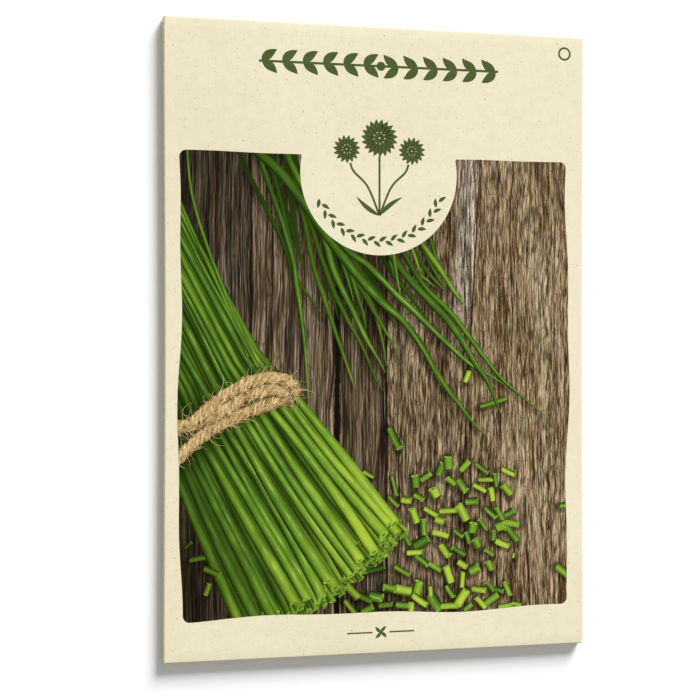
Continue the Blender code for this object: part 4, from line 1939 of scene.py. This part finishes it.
@dataclass
class Ornaments:
    """Plain olive ornaments in the places that are for words: leaves, flowers, a ring and rules.

    A flower is how far aside of the badge's middle and how far above it its head lies, the head's radius and
    its number of petals.
    """

    title_y: float = 50.2
    title_half: float = 22.8
    leaf_pairs: int = 12
    badge: Point = (-0.3, 30.4)
    sprig_foot: float = 7.6
    flowers: tuple[tuple[float, float, float, int], ...] = (
        (0.0, 6.6, 3.5, 19),
        (-6.2, 4.4, 2.6, 15),
        (6.2, 4.4, 2.6, 15),
    )
    arc_radius: float = 12.4
    arc_leaves: int = 27
    foot_y: float = -53.6
    foot_rule: Point = (1.6, 6.4)
    ring: Point = (36.1, 54.2)
    ring_radius: float = 1.1

    def _line(self, shape: InkShape, line: Sequence[Point], half: float, lift: float = 0.0) -> None:
        """Adds a line of even width."""
        shape.strip(line, [half] * len(line), Ink.PLAIN.value + lift, 0.0, [0.0] * len(line))

    def _leaf(self, shape: InkShape, root: Point, angle: float, length: float, half: float) -> None:
        """Adds one pointed leaf.

        Args:
            shape: The shape that takes it.
            root: Where it starts.
            angle: Which way it points, in radians.
            length: Its length.
            half: Half its greatest width.
        """
        steps = 14
        end = (root[0] + length * math.cos(angle), root[1] + length * math.sin(angle))
        line = along_line(root, end, 0.06 * length, steps)
        halves = [half * math.sin(math.pi * (step / steps) ** 0.8) ** 0.9 + 0.01 for step in range(steps + 1)]
        shape.strip(line, halves, Ink.PLAIN.value, 0.0, [0.0] * (steps + 1))

    def _garland(self, shape: InkShape) -> None:
        """Adds the row of leaves that stands where a title would be, to a shape."""
        ends = ((-self.title_half, self.title_y), (self.title_half, self.title_y))
        self._line(shape, along_line(*ends, 0.0, 12), 0.22, 1)
        pitch = 2 * self.title_half / self.leaf_pairs
        for index in range(self.leaf_pairs):
            x = -self.title_half + pitch * (index + 0.15)
            way = 1 if index < self.leaf_pairs / 2 else -1
            root = (x if way > 0 else x + pitch * 0.7, self.title_y)
            for side in (1, -1):
                lean = math.radians(38) * side
                self._leaf(shape, root, lean if way > 0 else math.pi - lean, 3.5, 0.80)
        shape.round_patch((0.0, self.title_y), (0.85, 0.85), 0.0, Ink.PLAIN.value + 2, 0.0, 0.0, 24)

    def _sprig(self, shape: InkShape) -> None:
        """Adds three round chive flowers on bowed stalks with two leaves, inside the badge, to a shape."""
        x, y = self.badge
        foot = (x, y - self.sprig_foot)
        for aside, up, radius, petals in self.flowers:
            head = (x + aside, y + up)
            self._flower_head(shape, head, radius, petals)
            neck = (head[0] - 0.10 * aside, head[1] - radius * 0.96)
            bends = (foot, (x + aside * 0.36, y - 2.4), (x + aside * 0.78, neck[1] - 1.6), neck)
            self._line(shape, through(bends, 8), 0.20, 1)
        for side in (1, -1):
            self._leaf(shape, foot, math.radians(90 - 52 * side), 5.6, 0.42)

    def _flower_head(self, shape: InkShape, centre: Point, radius: float, petals: int) -> None:
        """Adds one round flower head: a ring of narrow petals and a small star inside it.

        Args:
            shape: The shape that takes it.
            centre: Its middle.
            radius: Its radius.
            petals: The number of petals in the ring.
        """
        for inner, outer, half, count in ((0.30, 1.0, 0.155, petals), (0.04, 0.42, 0.09, 9)):
            for index in range(count):
                angle = 2 * math.pi * (index + 0.25) / count
                reach = inner * radius
                root = (centre[0] + reach * math.cos(angle), centre[1] + reach * math.sin(angle))
                self._leaf(shape, root, angle, (outer - inner) * radius, half * radius)

    def _leafy_arc(self, shape: InkShape) -> None:
        """Adds an arc of small leaves along the badge's lower rim, to a shape."""
        x, y = self.badge
        for index in range(self.arc_leaves):
            angle = math.radians(203 + 134 * (index / (self.arc_leaves - 1)))
            spot = (x + self.arc_radius * math.cos(angle), y + self.arc_radius * math.sin(angle))
            tilt = math.radians(34 if index % 2 else -34)
            self._leaf(shape, spot, angle + math.pi / 2 + tilt, 1.7, 0.34)

    def build(self) -> InkShape:
        """Lays the ornaments.

        Returns:
            All of them as one shape.
        """
        shape = InkShape("printed_ornaments")
        self._garland(shape)
        self._sprig(shape)
        self._leafy_arc(shape)
        near, far = self.foot_rule
        for start, end in ((-far, -near), (near, far)):
            self._line(shape, along_line((start, self.foot_y), (end, self.foot_y), 0.0, 12), 0.14, 1)
        for turn in range(4):
            self._leaf(shape, (0.0, self.foot_y), math.radians(45 + 90 * turn), 1.5, 0.3)
        (x, y), radius = self.ring, self.ring_radius
        turns = [math.pi * step / 18 for step in range(37)]
        ring = [(x + radius * math.cos(turn), y + radius * math.sin(turn)) for turn in turns]
        self._line(shape, ring, 0.18)
        return shape


# ---- The packet, its contents and the stage ----


@dataclass
class Packet:
    """The seed packet as it is seen: the paper, the print on its front and what is inside."""

    sheet: FoldedSheet
    outline: PictureOutline = field(default_factory=PictureOutline)

    def build_paper(self) -> None:
        """Builds the folded sheet in place of the plain solid."""
        paper = self.sheet.build()
        paper.data.materials.append(GrassPaper().material())
        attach(paper, "root")
        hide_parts("packet_sheet")
        LOG.info("built %s: %d faces", paper.name, len(paper.data.polygons))

    def build_picture(self) -> None:
        """Builds the printed picture, from the boards up to the twine."""
        shade = ShadeMap(self.outline)
        bunch = TiedBunch()
        green = PrintedStalk().material()
        cut = PrintedCutEnd().material()
        jute = PrintedTwine().material()
        stalks, cut_ends = bunch.build(shade)
        turns, hairs = Twine().build(shade)
        loose = LooseStalks().build(shade)
        chopped, chopped_ends = ChoppedPieces().build(shade, self.outline, bunch)
        boards, shades = shade.boards()
        boards.lay(self.sheet, WeatheredBoards().material(), shades)
        inks = ((loose, green), (chopped, green), (chopped_ends, cut), (stalks, green), (cut_ends, cut),
                (turns, jute), (hairs, jute))
        for shape, material in inks:
            shape.trim(self.outline.inside)
            shape.lay(self.sheet, material)

    def build_ornaments(self) -> None:
        """Builds the plain ornaments."""
        Ornaments().build().lay(self.sheet, OliveInk().material())

    def dress_contents(self) -> None:
        """Gives the glue and the seeds, which stay as the model has them, their own finishes."""
        finishes = {"glue": DriedGlue().material(), "seed": SeedCoat().material()}
        for name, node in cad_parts.items():
            kind = "seed" if name.startswith("seed_") else name.rpartition("_")[2]
            if kind in finishes:
                node.data.materials.clear()
                node.data.materials.append(finishes[kind])
        LOG.info("dressed the glue and the seeds")


@dataclass(frozen=True)
class Studio:
    """The camera, the floor and the soft light round the packet.

    The sun's spread is how wide it looks from the packet, in degrees.
    """

    target: Triple = (-5.86 * MM, -1.86 * MM, 2.1 * MM)
    camera: Triple = (-79.08 * MM, -2.31 * MM, 281.05 * MM)
    lens: float = 81.26
    sensor: float = 36.0
    floor_half: float = 3.0
    sun_way: Triple = (0.40, 0.80, 0.44)
    sun_spread: float = 28.0
    sun_power: float = 5.42
    surround: float = 0.38
    white: Colour = (1.0, 1.0, 1.0, 1.0)

    def place_camera(self) -> None:
        """Places the camera over the packet, a little to its left."""
        data = bpy.data.cameras.new("camera")
        data.lens = self.lens
        data.sensor_width = self.sensor
        data.clip_start = 0.01
        data.clip_end = 50
        item = bpy.data.objects.new("camera", data)
        forward = (Vector(self.target) - Vector(self.camera)).normalized()
        right = forward.cross(Vector((0, 1, 0))).normalized()
        turn = Matrix((right, right.cross(forward), -forward)).transposed()
        item.matrix_world = Matrix.Translation(self.camera) @ turn.to_4x4()
        bpy.context.scene.collection.objects.link(item)
        bpy.context.scene.camera = item

    def place_floor(self) -> None:
        """Lays a wide pale floor."""
        mesh = bpy.data.meshes.new("floor")
        plane = bmesh.new()
        bmesh.ops.create_grid(plane, x_segments=8, y_segments=8, size=self.floor_half)
        plane.to_mesh(mesh)
        plane.free()
        mesh.materials.append(PaleFloor().material())
        floor = bpy.data.objects.new("floor", mesh)
        bpy.context.scene.collection.objects.link(floor)
        floor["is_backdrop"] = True

    def place_sun(self) -> None:
        """Places one far soft light behind the packet's top right corner."""
        data = bpy.data.lights.new("key", "SUN")
        data.angle = math.radians(self.sun_spread)
        data.energy = self.sun_power
        item = bpy.data.objects.new("key", data)
        item.rotation_euler = Vector(self.sun_way).to_track_quat("Z", "Y").to_euler()
        bpy.context.scene.collection.objects.link(item)

    def place_surround(self) -> None:
        """Sets a pale surround that lights the packet softly and is plain white behind it."""
        world = bpy.data.worlds.new("surround")
        world.use_nodes = True
        graph = Graph(world.node_tree)
        ambient = graph.node("Background", {"Color": self.white, "Strength": self.surround})
        backdrop = graph.node("Background", {"Color": self.white, "Strength": 1.0})
        seen = graph.node("LightPath").outputs["Is Camera Ray"]
        both = graph.node("MixShader", {0: seen, 1: ambient.outputs[0], 2: backdrop.outputs[0]})
        graph.node("OutputWorld", {0: both.outputs[0]})
        bpy.context.scene.world = world
        bpy.context.scene.view_settings.view_transform = "Standard"


def write_sizes() -> None:
    """Works out the solid model's box and the visual model's box as plain lists, which are not kept."""
    boxes = {"cad": CAD_BOX, "visual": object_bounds()}
    {name: [list(corner) for corner in box] for name, box in boxes.items()}


def main() -> None:
    """Builds the studio and the packet in order."""
    logging.basicConfig(level=logging.INFO, format="%(name)s: %(message)s")
    studio = Studio()
    studio.place_camera()
    studio.place_floor()
    studio.place_sun()
    studio.place_surround()
    low, high = CAD_BOX
    packet = Packet(FoldedSheet(width=high.x - low.x - SNUG, height=high.y - low.y - SNUG))
    packet.build_paper()
    packet.build_picture()
    packet.build_ornaments()
    packet.dress_contents()
    write_sizes()


if __name__ == "__main__":
    main()
